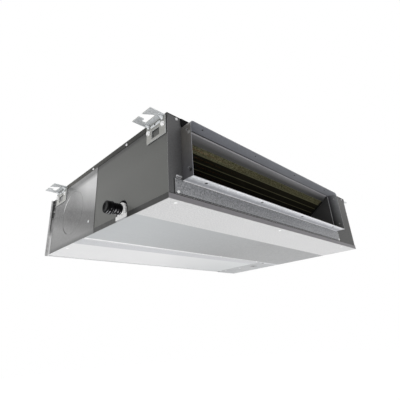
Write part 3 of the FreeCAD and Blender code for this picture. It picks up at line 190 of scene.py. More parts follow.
def add(tree, kind, inputs=None, **settings):
    """A node with its settings, and its inputs set to numbers or linked to other nodes' outputs."""
    node = tree.nodes.new(kind)
    for name, value in settings.items():
        setattr(node, name, value)
    for name, value in (inputs or {}).items():
        if isinstance(value, bpy.types.NodeSocket):
            tree.links.new(value, node.inputs[name])
        else:
            node.inputs[name].default_value = value
    return node


def new_material(name):
    """An empty material with its surface shader, and the tree that they stand in."""
    material = bpy.data.materials.new(name)
    material.use_nodes = True
    tree = material.node_tree
    tree.nodes.clear()
    shader = add(tree, "ShaderNodeBsdfPrincipled")
    output = add(tree, "ShaderNodeOutputMaterial")
    tree.links.new(shader.outputs["BSDF"], output.inputs["Surface"])
    return material, tree, shader


class Spot:
    """The place that is being coloured: its point on the piece in metres, and the way its face looks."""

    def __init__(self, tree):
        self.tree = tree
        self.point = add(tree, "ShaderNodeTexCoord").outputs["Object"]
        self.x, self.y, self.z = add(tree, "ShaderNodeSeparateXYZ", {"Vector": self.point}).outputs
        geometry = add(tree, "ShaderNodeNewGeometry")
        self.normal = geometry.outputs["True Normal"]
        parts = add(tree, "ShaderNodeSeparateXYZ", {"Vector": self.normal}).outputs
        self.right, self.up = parts["X"], parts["Z"]

    def math(self, operation, first, second=0.0):
        """The result of an operation on two numbers, or on one."""
        return add(self.tree, "ShaderNodeMath", {0: first, 1: second}, operation=operation).outputs["Value"]

    def ramp(self, value, start, end, low=0.0, high=1.0):
        """A value read between two ends and carried to two others."""
        node = add(self.tree, "ShaderNodeMapRange",
                   {"Value": value, "From Min": start, "From Max": end, "To Min": low, "To Max": high})
        return node.outputs["Result"]

    def size_of(self, value):
        """A number without its sign."""
        return self.math("ABSOLUTE", value)

    def both(self, *values):
        """The product of masks: 1 only where all of them are."""
        result = values[0]
        for value in values[1:]:
            result = self.math("MULTIPLY", result, value)
        return result

    def near(self, value, place, reach):
        """1 at a place along an axis, falling to 0 at its reach on both sides."""
        return self.ramp(self.size_of(self.math("SUBTRACT", value, place)), reach, 0.6 * reach)

    def sideways(self):
        """1 on faces that look to the left or the right."""
        return self.ramp(self.size_of(self.right), 0.4, 0.8)

    def upwards(self):
        """1 on faces that look up."""
        return self.ramp(self.up, 0.3, 0.7)

    def mix(self, factor, first, second):
        """A colour between two others, each given as a code or as a node's output."""
        node = add(self.tree, "ShaderNodeMix", {0: factor}, data_type="RGBA")
        for slot, value in ((6, first), (7, second)):
            colour = tone(value) if isinstance(value, str) else value
            if isinstance(colour, bpy.types.NodeSocket):
                self.tree.links.new(colour, node.inputs[slot])
            else:
                node.inputs[slot].default_value = colour
        return node.outputs[2]

    def stretched(self, *factors):
        """The point with each axis scaled, for streaks and lines."""
        node = add(self.tree, "ShaderNodeVectorMath", {0: self.point, 1: factors}, operation="MULTIPLY")
        return node.outputs["Vector"]

    def noise(self, scale, detail=3.0, roughness=0.55, point=None):
        """Smooth random values between 0 and 1."""
        node = add(self.tree, "ShaderNodeTexNoise", {"Vector": point or self.point, "Scale": scale,
                                                     "Detail": detail, "Roughness": roughness})
        return node.outputs["Fac"]

    def dots(self, places, reach):
        """1 in a disc round each place, 0 elsewhere."""
        result = 0.0
        for place in places:
            node = add(self.tree, "ShaderNodeVectorMath", {0: self.point, 1: place}, operation="DISTANCE")
            disc = self.ramp(node.outputs["Value"], reach, 0.8 * reach)
            result = self.math("MAXIMUM", disc, result)
        return result

    def grains(self, scale):
        """One random value to each grain, like the crystals of a zinc coat."""
        node = add(self.tree, "ShaderNodeTexVoronoi", {"Vector": self.point, "Scale": scale})
        return add(self.tree, "ShaderNodeSeparateColor", {"Color": node.outputs["Color"]}).outputs["Red"]

    def shaded(self, colour, value, spread):
        """A colour made darker and lighter by a value from 0 to 1."""
        base = tone(colour)[:3] if isinstance(colour, str) else colour
        factor = self.ramp(value, 0.25, 0.75, 1.0 - spread, 1.0 + spread)
        node = add(self.tree, "ShaderNodeVectorMath", {0: base}, operation="SCALE")
        self.tree.links.new(factor, node.inputs["Scale"])
        return node.outputs["Vector"]

    def edge(self):
        """1 on an outer edge, where handling wears the coat bright and a highlight is painted, and 0 on a
        flat face.
        """
        soft = add(self.tree, "ShaderNodeBevel", {"Radius": EDGE_REACH}, samples=4)
        turn = add(self.tree, "ShaderNodeVectorMath", {0: self.normal, 1: soft.outputs["Normal"]},
                   operation="DOT_PRODUCT")
        return self.ramp(turn.outputs["Value"], 0.99, 0.85)

    def nook_shade(self):
        """1 where other faces stand close by and shade is painted, as in a seam or under a lip, and 0 in
        the open.
        """
        sky = add(self.tree, "ShaderNodeAmbientOcclusion", {"Distance": NOOK_REACH}, samples=8)
        return self.ramp(sky.outputs["AO"], 0.8, 0.25)


def relief(spot, shader, height, depth):
    """Bump from a height value; depth is in metres."""
    node = add(spot.tree, "ShaderNodeBump", {"Height": height, "Distance": depth, "Strength": 1.0})
    spot.tree.links.new(node.outputs["Normal"], shader.inputs["Normal"])


def rough(spot, shader, value, middle, spread):
    """Roughness that changes with a value from 0 to 1."""
    result = spot.ramp(value, 0.25, 0.75, middle - spread, middle + spread)
    spot.tree.links.new(result, shader.inputs["Roughness"])


def islands(name):
    """The lowest and highest corner of each separate solid of a CAD node."""
    mesh = bmesh.new()
    mesh.from_mesh(nodes[name].data)
    bmesh.ops.remove_doubles(mesh, verts=mesh.verts, dist=SAME_POINT)
    waiting = set(mesh.verts)
    found = []
    while waiting:
        reached = [waiting.pop()]
        for vertex in reached:
            for edge in vertex.link_edges:
                other = edge.other_vert(vertex)
                if other in waiting:
                    waiting.discard(other)
                    reached.append(other)
        low = Vector([min(v.co[axis] for v in reached) for axis in range(3)])
        high = Vector([max(v.co[axis] for v in reached) for axis in range(3)])
        found.append((low, high))
    mesh.free()
    return sorted(found, key=lambda ends: tuple(round(value, 5) for value in ends[0]))


def screw_places():
    """The middles of the screws in the underside, on its plane."""
    return [((low.x + high.x) / 2, (low.y + high.y) / 2, 0.0) for low, high in islands("bottom_screws")]


def duct_holes():
    """The x and y of the duct's four screw holes, which the record states as mounts."""
    mounts = {mount["name"]: mount for mount in frame["record"]["mounts"]}
    places = []
    for name in ("duct_holes_outer", "duct_holes_inner"):
        middle, y, _ = mounts[name]["pos_m"]
        reach = mounts[name]["dims"]["spacing_x_mm"] / 2 * MM
        places += [(middle - reach, y), (middle + reach, y)]
    return places


def lip_holes():
    """The holes in the outlet's lower lip, under those in its upper wall."""
    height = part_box("lower_front_strip")[1].z - MM
    return [(x, y, height) for x, y in duct_holes()]


def hanger_wall(name):
    """The x of a hanger's face that lies on the casing, and 1 on the right side or -1 on the left."""
    low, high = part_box(name)
    return (low.x, 1) if low.x > 0 else (high.x, -1)


# coats: the colour of each sheet from its place and the way its face looks

def screw_highlight_rings(spot, coat):
    """The coat with a painted highlight: a white ring round each screw in the underside."""
    return spot.mix(spot.dots(screw_places(), SCREW_HIGHLIGHT_REACH), coat, "ffffff")


def side_coat(spot):
    """Dull grey, darker towards the top, with painted shade under the lid's lip and in the slit beside the
    front sheet.
    """
    # painted shade under the lid's lip
    lip_shade = spot.ramp(spot.z, 0.172, 0.179)
    # a near-black line of painted shade in the slit beside the front sheet
    slit = spot.both(spot.ramp(spot.y, -0.2955, -0.2965), spot.ramp(spot.z, 0.150, 0.155))
    coat = spot.mix(spot.ramp(spot.z, 0.11, 0.17), "5d5e5b", "525350")
    coat = spot.mix(lip_shade, coat, "323231")
    return spot.mix(slit, coat, "0c0c0c")


def side_zinc(spot):
    """Painted reflection: bright towards the front seam, a dull valley climbing rearwards, and dull folds.
    """
    valley = spot.math("ADD", spot.math("MULTIPLY", spot.y, VALLEY_SLOPE), VALLEY_HEIGHT)
    height = spot.math("SUBTRACT", spot.z, valley)
    # the bright and dull tones are a painted reflection
    bright = spot.mix(spot.ramp(spot.y, 0.05, 0.13), "cacaca", "9a9a9a")
    dull = spot.mix(spot.ramp(spot.y, 0.06, 0.13), "4e4e4e", "3c3c3c")
    # painted shade under the top fold; the sheet is also darker along the foot fold
    top_fold_shade = spot.ramp(spot.z, 0.158, 0.172)
    foot_fold = spot.ramp(spot.z, 0.015, 0.005)
    coat = spot.mix(spot.ramp(height, 0.014, 0.088), dull, bright)
    coat = spot.mix(spot.ramp(height, -0.012, -0.052), coat, "818181")
    coat = spot.mix(top_fold_shade, coat, "6d6d6d")
    coat = spot.mix(foot_fold, coat, "5c5c5c")
    streaks = spot.mix(spot.noise(1.0, 2.0, point=spot.stretched(1, 2, 60)), "707070", "8c8c8c")
    return spot.mix(0.1, coat, streaks)


def ring_zinc(spot):
    """The knock-out's ring shows on its rear half, with a painted highlight above and painted shade below.
    """
    rear = spot.ramp(spot.y, 0.150, 0.175)
    low = spot.both(rear, spot.ramp(spot.z, 0.078, 0.060))
    high = spot.both(rear, spot.ramp(spot.z, 0.105, 0.125))
    return spot.mix(high, spot.mix(low, side_zinc(spot), "262626"), "d4d4d4")


def lid_zinc(spot):
    """The lid is pale on top, and its folded lips are painted in shade, less so at the rear."""
    lip = spot.mix(spot.ramp(spot.y, -0.10, 0.15), "3e3e3c", "5e5d59")
    return spot.mix(spot.ramp(spot.up, 0.5, 0.8), lip, "a4a6a8")


def front_zinc(spot):
    """Dull grey, darker low on the right, with painted shade in the gap at the strip's left end."""
    right = spot.mix(spot.ramp(spot.z, 0.10, 0.18), "3d3d3c", "5a5958")
    coat = spot.mix(spot.ramp(spot.x, -0.40, 0.30), "585859", right)
    # painted shade in the gap at the strip's left end
    gap = spot.both(spot.near(spot.x, -0.4340, 0.0022), spot.ramp(spot.z, 0.050, 0.046))
    return spot.mix(gap, coat, "0c0c0c")


def collar_zinc(spot):
    """Dull on the left wall, painted light towards the mouth on the right wall, grey under the upper wall.
    """
    holes = spot.near(spot.y, -0.3245, HOLE_SHADOW)
    # the lower hole is painted black as shade; the upper one is painted a paler grey
    lower_hole_shade = spot.both(holes, spot.near(spot.z, 0.0630, HOLE_SHADOW))
    upper_hole_pale = spot.both(holes, spot.near(spot.z, 0.1530, HOLE_SHADOW))
    left = spot.mix(spot.ramp(spot.z, 0.07, 0.14), "4d4d50", "5a5855")
    left = spot.mix(lower_hole_shade, left, "050505")
    left = spot.mix(upper_hole_pale, left, "8a8a8a")
    # the right wall: painted light towards the mouth, painted shade towards the root, and a painted
    # highlight on the fold
    high = spot.ramp(spot.z, 0.06, 0.17)
    mouth = spot.mix(high, "6e6e6e", "a6a8aa")
    root = spot.mix(high, "2c2c2c", "46464a")
    right = spot.mix(spot.ramp(spot.y, -0.330, -0.303), mouth, root)
    right = spot.mix(spot.ramp(spot.y, -0.2990, -0.2985), right, "d0d0d2")
    walls = spot.mix(spot.ramp(spot.x, -0.05, 0.05), left, right)
    under = spot.mix(spot.ramp(spot.x, -0.40, 0.05), "90929a", "9ea0a6")
    # painted shade under the upper wall at its root
    under_root_shade = spot.mix(spot.ramp(spot.x, -0.37, 0.0), "4c4c4e", "7c7e82")
    under = spot.mix(spot.ramp(spot.y, -0.302, -0.3005), under, under_root_shade)
    # upward faces are painted light
    level = spot.mix(spot.upwards(), under, "aeb0b3")
    return spot.mix(spot.sideways(), level, walls)


def inner_zinc(spot):
    """A plain grey, darker beside the coil."""
    return spot.mix(spot.ramp(spot.y, -0.16, -0.20), "666666", "4c4c4c")


def strip_zinc(spot):
    """Under the outlet's lip the sheet has painted light at the front and in the bend; the upright is
    speckled.
    """
    # the lip's tones are painted light: a bright hem at the front, a greyer middle, and a white highlight
    # in the bend
    hem = spot.mix(spot.ramp(spot.x, -0.42, -0.25), "d6d8db", "f0f1f4")
    flat = spot.mix(spot.ramp(spot.x, -0.40, 0.25), "97999e", "b7b8bd")
    root = spot.ramp(spot.y, -0.308, -0.303)
    bend = spot.ramp(spot.y, -0.3022, -0.3015)
    lip = spot.mix(spot.ramp(spot.y, -0.327, -0.311), hem, flat)
    lip = spot.mix(root, lip, "bcbdc2")
    lip = spot.mix(bend, lip, "ffffff")
    # painted shade round the duct's screw holes
    lip = spot.mix(spot.dots(lip_holes(), HOLE_SHADOW), lip, "080808")
    speckle = spot.ramp(spot.noise(230, 2.0, 0.7), 0.3, 0.7)
    shadow = spot.both(spot.near(spot.x, -0.15, 0.25), 0.25)
    # painted shade along the upright's foot
    foot = spot.ramp(spot.z, 0.0172, 0.0164)
    upright = spot.mix(speckle, "68696c", "b0b1b4")
    upright = spot.mix(shadow, upright, "5e5f61")
    upright = spot.mix(foot, upright, "242425")
    lower = spot.mix(spot.ramp(spot.up, -0.7, -0.3), lip, upright)
    return spot.mix(spot.upwards(), lower, "b4b6ba")


def tray_zinc(spot):
    """A painted reflection, pale in front and greyer past a slanted line; lips in painted shade, hem
    painted bright.
    """
    # the pale front and the greyer middle are a painted reflection
    line = spot.math("ADD", spot.math("MULTIPLY", spot.x, REFLECTION_SLOPE), REFLECTION_LINE)
    behind = spot.ramp(spot.math("SUBTRACT", spot.y, line), -0.0012, 0.0012)
    middle = spot.mix(spot.ramp(spot.x, -0.40, 0.05), "abaeb0", "8b8c8d")
    front = spot.mix(spot.ramp(spot.noise(300, 1.0), 0.35, 0.65), "bbbbbc", "cecece")
    under = screw_highlight_rings(spot, spot.mix(behind, front, middle))
    # the side lip is painted dark as shade, but lighter at the drain's sill
    drain_sill = spot.near(spot.y, -0.131, 0.024)
    side_lip = spot.mix(drain_sill, "383837", "c6c7ca")
    # painted shade along the front lip's top
    front_lip = spot.mix(spot.ramp(spot.z, 0.0118, 0.0126), "868487", "242425")
    # a painted highlight along the hem
    hem = spot.ramp(spot.z, 0.0014, 0.0008)
    lips = spot.mix(spot.sideways(), front_lip, side_lip)
    lips = spot.mix(hem, lips, "a9a9a9")
    return spot.mix(spot.ramp(spot.size_of(spot.up), 0.3, 0.8), lips, under)


def hatch_zinc(spot):
    """The rear sheet from its front: gap in painted shade, fold with a painted highlight, a darker speckled
    band, a pale coat.
    """
    # painted shade in the gap
    gap = spot.mix(spot.ramp(spot.x, -0.45, -0.05), "5c5c5e", "a2a2a5")
    # a painted highlight on the fold
    fold = spot.mix(spot.ramp(spot.x, -0.30, 0.20), "f3f3f4", "d6d7d8")
    band = spot.mix(spot.noise(330, 1.0), "94959a", "cfd0d3")
    pale = spot.mix(spot.ramp(spot.x, -0.10, 0.30), "d6d6d7", "bec1c2")
    band_end = spot.ramp(spot.x, -0.45, 0.30, 0.108, 0.088)
    past_band = spot.ramp(spot.math("SUBTRACT", spot.y, band_end), 0.0, 0.002)
    past_fold = spot.ramp(spot.y, 0.0500, 0.0570)
    past_gap = spot.ramp(spot.y, 0.0430, 0.0440)
    coat = spot.mix(past_band, band, pale)
    coat = spot.mix(past_fold, fold, coat)
    coat = spot.mix(past_gap, gap, coat)
    return screw_highlight_rings(spot, coat)


def plate_zinc(spot):
    """The plate beside the rear sheet, paler at its front, with painted shade round its slot and its hole.
    """
    # painted shade round the slot and the hole
    slot = spot.both(spot.near(spot.x, 0.3677, 0.016), spot.near(spot.y, 0.1199, 0.011))
    hole = spot.dots([(0.3486, 0.0526, 0.0)], 0.0070)
    coat = spot.mix(spot.ramp(spot.y, 0.050, 0.062), "bcbdc0", "9a9c9e")
    coat = spot.mix(slot, coat, "161617")
    coat = spot.mix(hole, coat, "161617")
    return screw_highlight_rings(spot, coat)


def box_zinc(spot):
    """The electrical box is dark below, where foam tape covers it."""
    return spot.mix(spot.ramp(spot.z, 0.0045, 0.0035), "8c8e90", "131313")


def return_zinc(spot):
    """Frame behind the unit: dull, a painted shadow in a broken gap high on its side, a painted highlight
    on a fold below.
    """
    left = spot.ramp(spot.x, -0.4400, -0.4435)
    high = spot.ramp(spot.z, 0.100, 0.125)
    low = spot.ramp(spot.z, 0.075, 0.055)
    broken = spot.ramp(spot.noise(1.0, 2.0, point=spot.stretched(0, 60, 110)), 0.40, 0.48)
    gap = spot.both(left, spot.ramp(spot.y, 0.272, 0.276), high, broken)
    fold = spot.both(left, spot.near(spot.y, 0.290, 0.009), low)
    coat = spot.mix(gap, "8e8e8e", "1c1c1c")
    coat = spot.mix(fold, coat, "e0e0e0")
    # down-facing faces are painted pale, as if lit from below
    return spot.mix(spot.ramp(spot.up, -0.5, -0.8), coat, "dcdcdd")


def edge_zinc(spot):
    """The turned edge is painted pale so that it looks lit, with painted shade high in its root."""
    # painted shade high in the root
    root = spot.both(spot.ramp(spot.x, -0.4480, -0.4465), spot.ramp(spot.z, 0.060, 0.085))
    pale = spot.mix(spot.ramp(spot.z, 0.030, 0.090), "c0c0c0", "e8e8e8")
    return spot.mix(root, pale, "343434")


def bracket_zinc(spot):
    """Painted light on the plate, and painted shade in a warmer grey on the leg."""
    return spot.mix(spot.sideways(), "d2d5d7", "a2a29d")


def bead_zinc(spot):
    """The hangers' pressed beads are painted bright as a highlight, with a black spot of painted shade in
    the middle.
    """
    holes = []
    for name in HANGERS:
        low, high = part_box(name)
        wall, side = hanger_wall(name)
        holes.append((wall + side * BEAD_HOLE_DEPTH, (low.y + high.y) / 2, high.z - BEAD_HOLE_DROP))
    return spot.mix(spot.dots(holes, BEAD_HOLE_RADIUS), "dfe2e4", "101010")


def baffle_zinc(spot):
    """Grey above, with painted shade towards the coil and a painted highlight on the fold at its head."""
    head = spot.mix(spot.ramp(spot.x, -0.37, 0.0), "666568", "807f82")
    face = spot.mix(spot.ramp(spot.z, 0.1672, 0.1760), "383836", head)
    return spot.mix(spot.ramp(spot.z, 0.1766, 0.1771), face, "a7a6a8")


def zinc_sheet(name, coat, grain, grain_spread, cloud_spread, roughness, metallic, nook_shade, wear_and_sheen, gloss):
    """Zinc-coated sheet: crystal grains, clouds, rolling lines, worn and painted-bright edges, painted
    shade in seams.
    """
    material, tree, shader = new_material(name)
    spot = Spot(tree)
    crystals = spot.grains(grain)
    shade = spot.shaded(coat(spot), crystals, grain_spread)
    shade = spot.shaded(shade, spot.noise(7, 4.0), cloud_spread)
    shade = spot.shaded(shade, spot.noise(1.0, 2.0, point=spot.stretched(6, 260, 260)), 0.02)
    # wear and a painted highlight on outer edges, then painted shade in nooks
    shade = spot.mix(spot.both(spot.edge(), wear_and_sheen), shade, "e6e7e8")
    shade = spot.mix(spot.both(spot.nook_shade(), nook_shade), shade, "161617")
    tree.links.new(shade, shader.inputs["Base Color"])
    shader.inputs["Metallic"].default_value = metallic
    shader.inputs["Specular IOR Level"].default_value = gloss
    rough(spot, shader, crystals, roughness, 0.06)
    relief(spot, shader, spot.math("ADD", spot.noise(900, 2.0), crystals), 0.02 * MM)
    return material


def smooth_metal(name, colour, roughness, metallic, spread=0.08):
    """Plated steel, copper or brass: fine tool marks, slight tarnish and a worn sheen."""
    material, tree, shader = new_material(name)
    spot = Spot(tree)
    shade = spot.shaded(colour, spot.noise(300), spread)
    shade = spot.shaded(shade, spot.noise(35), spread)
    tree.links.new(shade, shader.inputs["Base Color"])
    shader.inputs["Metallic"].default_value = metallic
    rough(spot, shader, spot.noise(120), roughness, 0.1)
    relief(spot, shader, spot.noise(1600, 2.0), 0.02 * MM)
    return material


def moulding(name, colour, roughness, grain=1300, depth=0.03 * MM, spread=0.04, gloss=0.5):
    """Moulded plastic or rubber: an eroded skin, faint flow clouds and a dull bloom."""
    material, tree, shader = new_material(name)
    spot = Spot(tree)
    shade = spot.shaded(colour, spot.noise(22, 4.0), spread)
    shade = spot.shaded(shade, spot.noise(grain, 2.0), spread)
    tree.links.new(shade, shader.inputs["Base Color"])
    shader.inputs["Specular IOR Level"].default_value = gloss
    rough(spot, shader, spot.noise(60), roughness, 0.08)
    relief(spot, shader, spot.noise(grain, 2.0), depth)
    return material


def cap_rubber(name):
    """Black rubber, with pale glints painted in rings under its ribs."""
    material, tree, shader = new_material(name)
    spot = Spot(tree)
    below = spot.ramp(spot.up, -0.35, -0.75)
    rings = spot.ramp(spot.math("SINE", spot.math("MULTIPLY", spot.x, math.tau / GLINT_PITCH)), 0.1, 0.6)
    patches = spot.ramp(spot.noise(150, 2.0), 0.46, 0.56)
    shade = spot.shaded("030304", spot.noise(900, 2.0), 0.2)
    # painted glints under the ribs
    shade = spot.mix(spot.both(below, rings, patches), shade, "c9c9cd")
    tree.links.new(shade, shader.inputs["Base Color"])
    shader.inputs["Specular IOR Level"].default_value = 0.06
    rough(spot, shader, spot.noise(60), 0.4, 0.08)
    relief(spot, shader, spot.noise(900, 2.0), 0.04 * MM)
    return material


def foam(name, colour):
    """Cut foam: open cells that hold shadow, with hardly any gloss."""
    material, tree, shader = new_material(name)
    spot = Spot(tree)
    pits = add(tree, "ShaderNodeTexVoronoi", {"Vector": spot.point, "Scale": 900})
    depth = spot.ramp(pits.outputs["Distance"], 0.0, 0.6)
    tree.links.new(spot.shaded(colour, depth, 0.25), shader.inputs["Base Color"])
    shader.inputs["Roughness"].default_value = 0.95
    shader.inputs["Specular IOR Level"].default_value = 0.1
    relief(spot, shader, depth, 0.3 * MM)
    return material


def fin_metal(name):
    """Thin coated aluminium: olive, with painted light mottled along the top row and painted shade below
    it.
    """
    material, tree, shader = new_material(name)
    spot = Spot(tree)
    low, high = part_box("fin_pack")
    top = high.z - COIL_DEPTH * math.cos(COIL_TILT)
    along = spot.math("MULTIPLY", spot.math("SUBTRACT", spot.y, low.y), math.cos(COIL_TILT))
    down = spot.math("MULTIPLY", spot.math("SUBTRACT", top, spot.z), math.sin(COIL_TILT))
    rows = spot.math("DIVIDE", spot.math("ADD", along, down), TUBE_PITCH)
    mottle_noise = spot.noise(1.0, 4.0, 0.75, spot.stretched(200, 420, 420))
    mottled = spot.ramp(mottle_noise, 0.42, 0.60)
    # the top row is painted light, mottled, brighter on the left
    left = spot.mix(mottled, "6f6f50", "dcdab4")
    right = spot.mix(mottled, "55553c", "a8a682")
    bright = spot.mix(spot.ramp(spot.x, -0.38, -0.05), left, right)
    # the deeper rows are painted shade, darker further down
    dark = spot.mix(spot.ramp(rows, 1.0, 4.0), "302f1e", "0a0a07")
    shade = spot.mix(spot.ramp(rows, 0.92, 1.02), bright, dark)
    # painted highlights on the ridges
    from_ridge = spot.size_of(spot.math("SUBTRACT", rows, spot.math("ROUND", rows)))
    ridge = spot.ramp(from_ridge, 0.075, 0.03)
    lines = spot.mix(spot.ramp(rows, 0.5, 5.5), "a5a37f", "3e3d2c")
    shade = spot.mix(ridge, shade, lines)
    # painted shade at the right end
    right_end = spot.ramp(spot.x, 0.288, 0.296)
    shade = spot.mix(right_end, shade, "0c0c09")
    tree.links.new(spot.shaded(shade, spot.noise(500, 2.0), 0.15), shader.inputs["Base Color"])
    shader.inputs["Metallic"].default_value = 0.1
    rough(spot, shader, mottle_noise, 0.55, 0.1)
    relief(spot, shader, spot.noise(1200, 2.0), 0.03 * MM)
    return material


def net(name, colour, pitch=1.6 * MM, thread=0.42):
    """Woven net: threads both ways, a share of the pitch wide, with clear air between them."""
    material, tree, shader = new_material(name)
    spot = Spot(tree)
    threads = []
    for axis in (spot.x, spot.z):
        place = spot.math("FRACT", spot.math("DIVIDE", axis, pitch))
        threads.append(spot.math("LESS_THAN", place, thread))
    tree.links.new(spot.shaded(colour, spot.noise(200), 0.2), shader.inputs["Base Color"])
    tree.links.new(spot.math("MAXIMUM", *threads), shader.inputs["Alpha"])
    shader.inputs["Roughness"].default_value = 0.7
    relief(spot, shader, spot.math("ADD", *threads), 0.2 * MM)
    return material


def circuit_board(name):
    """Green lacquer over copper tracks."""
    material, tree, shader = new_material(name)
    spot = Spot(tree)
    tracks = add(tree, "ShaderNodeTexBrick", {"Vector": spot.point, "Scale": 55.0, "Mortar Size": 0.03,
                                              "Color1": tone("1f5a36"), "Color2": tone("246540"),
                                              "Mortar": tone("4f8a4a")})
    tree.links.new(spot.shaded(tracks.outputs["Color"], spot.noise(300), 0.15), shader.inputs["Base Color"])
    shader.inputs["Roughness"].default_value = 0.35
    relief(spot, shader, tracks.outputs["Fac"], 0.1 * MM)
    return material


# the zinc-coated finishes, each with its coat and, in this order: how fine its grains are, how far grains
# and clouds change its tone, its roughness, its metallic share, the painted shade in its nooks, the wear
# and painted highlight on its edges and its gloss
ZINC_SHEETS = {
    "side_coat": (side_coat, 1400, 0.03, 0.03, 0.50, 0.00, 0.20, 0.20, 0.50),
    "side_zinc": (side_zinc, 260, 0.02, 0.04, 0.36, 0.30, 0.15, 0.10, 0.50),
    "ring_zinc": (ring_zinc, 260, 0.02, 0.04, 0.36, 0.30, 0.00, 0.00, 0.50),
    "lid_zinc": (lid_zinc, 300, 0.05, 0.04, 0.60, 0.00, 0.60, 0.00, 0.15),
    "front_zinc": (front_zinc, 420, 0.10, 0.08, 0.50, 0.10, 0.60, 0.35, 0.50),
    "strip_zinc": (strip_zinc, 380, 0.12, 0.05, 0.42, 0.10, 0.60, 0.35, 0.50),
    "collar_zinc": (collar_zinc, 300, 0.05, 0.05, 0.40, 0.10, 0.60, 0.35, 0.50),
    "baffle_zinc": (baffle_zinc, 420, 0.08, 0.05, 0.50, 0.10, 0.20, 0.35, 0.50),
    "inner_zinc": (inner_zinc, 420, 0.10, 0.06, 0.50, 0.20, 0.60, 0.35, 0.50),
    "box_zinc": (box_zinc, 420, 0.10, 0.06, 0.50, 0.20, 0.60, 0.35, 0.50),
    "tray": (tray_zinc, 300, 0.02, 0.02, 0.40, 0.00, 0.60, 0.35, 0.25),
    "hatch": (hatch_zinc, 300, 0.02, 0.02, 0.38, 0.00, 0.60, 0.35, 0.50),
    "plate_zinc": (plate_zinc, 300, 0.06, 0.04, 0.40, 0.10, 0.60, 0.35, 0.50),
    "return_zinc": (return_zinc, 260, 0.06, 0.06, 0.50, 0.10, 0.30, 0.10, 0.30),
    "edge_zinc": (edge_zinc, 260, 0.06, 0.06, 0.50, 0.10, 0.20, 0.10, 0.30),
    "bracket_zinc": (bracket_zinc, 380, 0.04, 0.04, 0.35, 0.25, 0.60, 0.35, 0.50),
    "bead_zinc": (bead_zinc, 380, 0.04, 0.04, 0.30, 0.20, 0.30, 0.35, 0.50),
}

FINISHES = {name: zinc_sheet(name, *values) for name, values in ZINC_SHEETS.items()}
FINISHES |= {
    "screw_zinc": smooth_metal("screw_zinc", "ffffff", roughness=0.3, metallic=0.0, spread=0.02),
    # near-black steel that stands for the shade seen in the duct's screw holes
    "hole_shade_steel": smooth_metal("hole_shade_steel", "0c0c0d", roughness=0.6, metallic=0.0),
    "copper": smooth_metal("copper", "b8744f", roughness=0.3, metallic=1.0),
    "brass": smooth_metal("brass", "c29e58", roughness=0.3, metallic=1.0),
    "motor_paint": smooth_metal("motor_paint", "6d7073", roughness=0.45, metallic=0.4),
    "fins": fin_metal("fins"),
    "black_foam": foam("black_foam", "161617"),
    "rubber": moulding("rubber", "0e0e0f", roughness=0.45, grain=900, depth=0.05 * MM, spread=0.15,
                       gloss=0.2),
    "cap_rubber": cap_rubber("cap_rubber"),
    "white_plastic": moulding("white_plastic", "fcfcfb", roughness=0.4, spread=0.02),
    "cream_plastic": moulding("cream_plastic", "dad8cf", roughness=0.45),
    "wheel_plastic": moulding("wheel_plastic", "47494b", roughness=0.45),
    "housing_plastic": moulding("housing_plastic", "333336", roughness=0.55),
    "filter_plastic": moulding("filter_plastic", "b4b6b8", roughness=0.5),
    "net": net("net", "2c2d30"),
    "board": circuit_board("board"),
}

# the CAD nodes that each finish goes on
FINISH_OF = {
    "side_coat": ("left_side_front", "right_side_front"),
    "side_zinc": ("left_side_rear", "right_side_rear", "fresh_air_knockout"),
    "lid_zinc": ("top_panel",),
    "front_zinc": ("front_panel",),
    "strip_zinc": ("lower_front_strip",),
    "collar_zinc": ("outlet_collar",),
    "baffle_zinc": ("coil_top_baffle",),
    "inner_zinc": ("fan_partition", "service_partition", "coil_end_plate_left", "coil_end_plate_right",
                   "motor_bands", "motor_cradle"),
    "box_zinc": ("electrical_box",),
    "tray": ("bottom_front_panel",),
    "hatch": ("bottom_rear_panel",),
    "plate_zinc": ("bottom_right_plate",),
    "return_zinc": ("rear_panel", "return_frame", "filter_guides"),
    "bracket_zinc": HANGERS,
    "screw_zinc": ("bottom_screws", "side_screws", "front_screws", "hanger_bolts", "motor_shaft"),
    "copper": ("coil_tubes", "gas_header", "liquid_header", "gas_pipe", "liquid_pipe"),
    "brass": ("flare_nuts",),
    "motor_paint": ("fan_motor",),
    "fins": ("fin_pack",),
    "black_foam": ("top_insulation", "front_foam_strip", "drain_pan"),
    "rubber": ("pipe_seals", "cable_grommets", "motor_rubber_rings"),
    "cap_rubber": ("drain_plug",),
    "white_plastic": ("drain_spout_left", "drain_pipe_right", "run_capacitor"),
    "cream_plastic": ("terminal_block",),
    "wheel_plastic": ("left_fan_wheel", "right_fan_wheel"),
    "housing_plastic": ("left_housing_upper", "left_housing_lower",
                        "right_housing_upper", "right_housing_lower"),
    "filter_plastic": ("filter_frame",),
    "net": ("filter_mesh",),
    "board": ("control_board",),
}

# sheets and mouldings whose edges are rounded, with the radius in millimetres
ROUNDED = {
    0.3: ("top_panel", "bottom_front_panel", "bottom_rear_panel", "bottom_right_plate", "left_side_rear",
          "right_side_rear", "lower_front_strip", "return_frame", "electrical_box"),
    0.6: (*HANGERS, "drain_spout_left", "filter_frame"),
}


def finish_nodes():
    """Give every CAD node its finish, and soften the edges of those that show."""
    for finish, names in FINISH_OF.items():
        for name in names:
            nodes[name].data.materials.clear()
            nodes[name].data.materials.append(FINISHES[finish])
    for radius, names in ROUNDED.items():
        for name in names:
            weld = nodes[name].modifiers.new("Weld", "WELD")
            weld.merge_threshold = WELD_REACH
            bevel = nodes[name].modifiers.new("Bevel", "BEVEL")
            bevel.width = radius * MM
            bevel.segments = 2
            bevel.limit_method = "ANGLE"
            bevel.angle_limit = SHARP_EDGE


# pieces

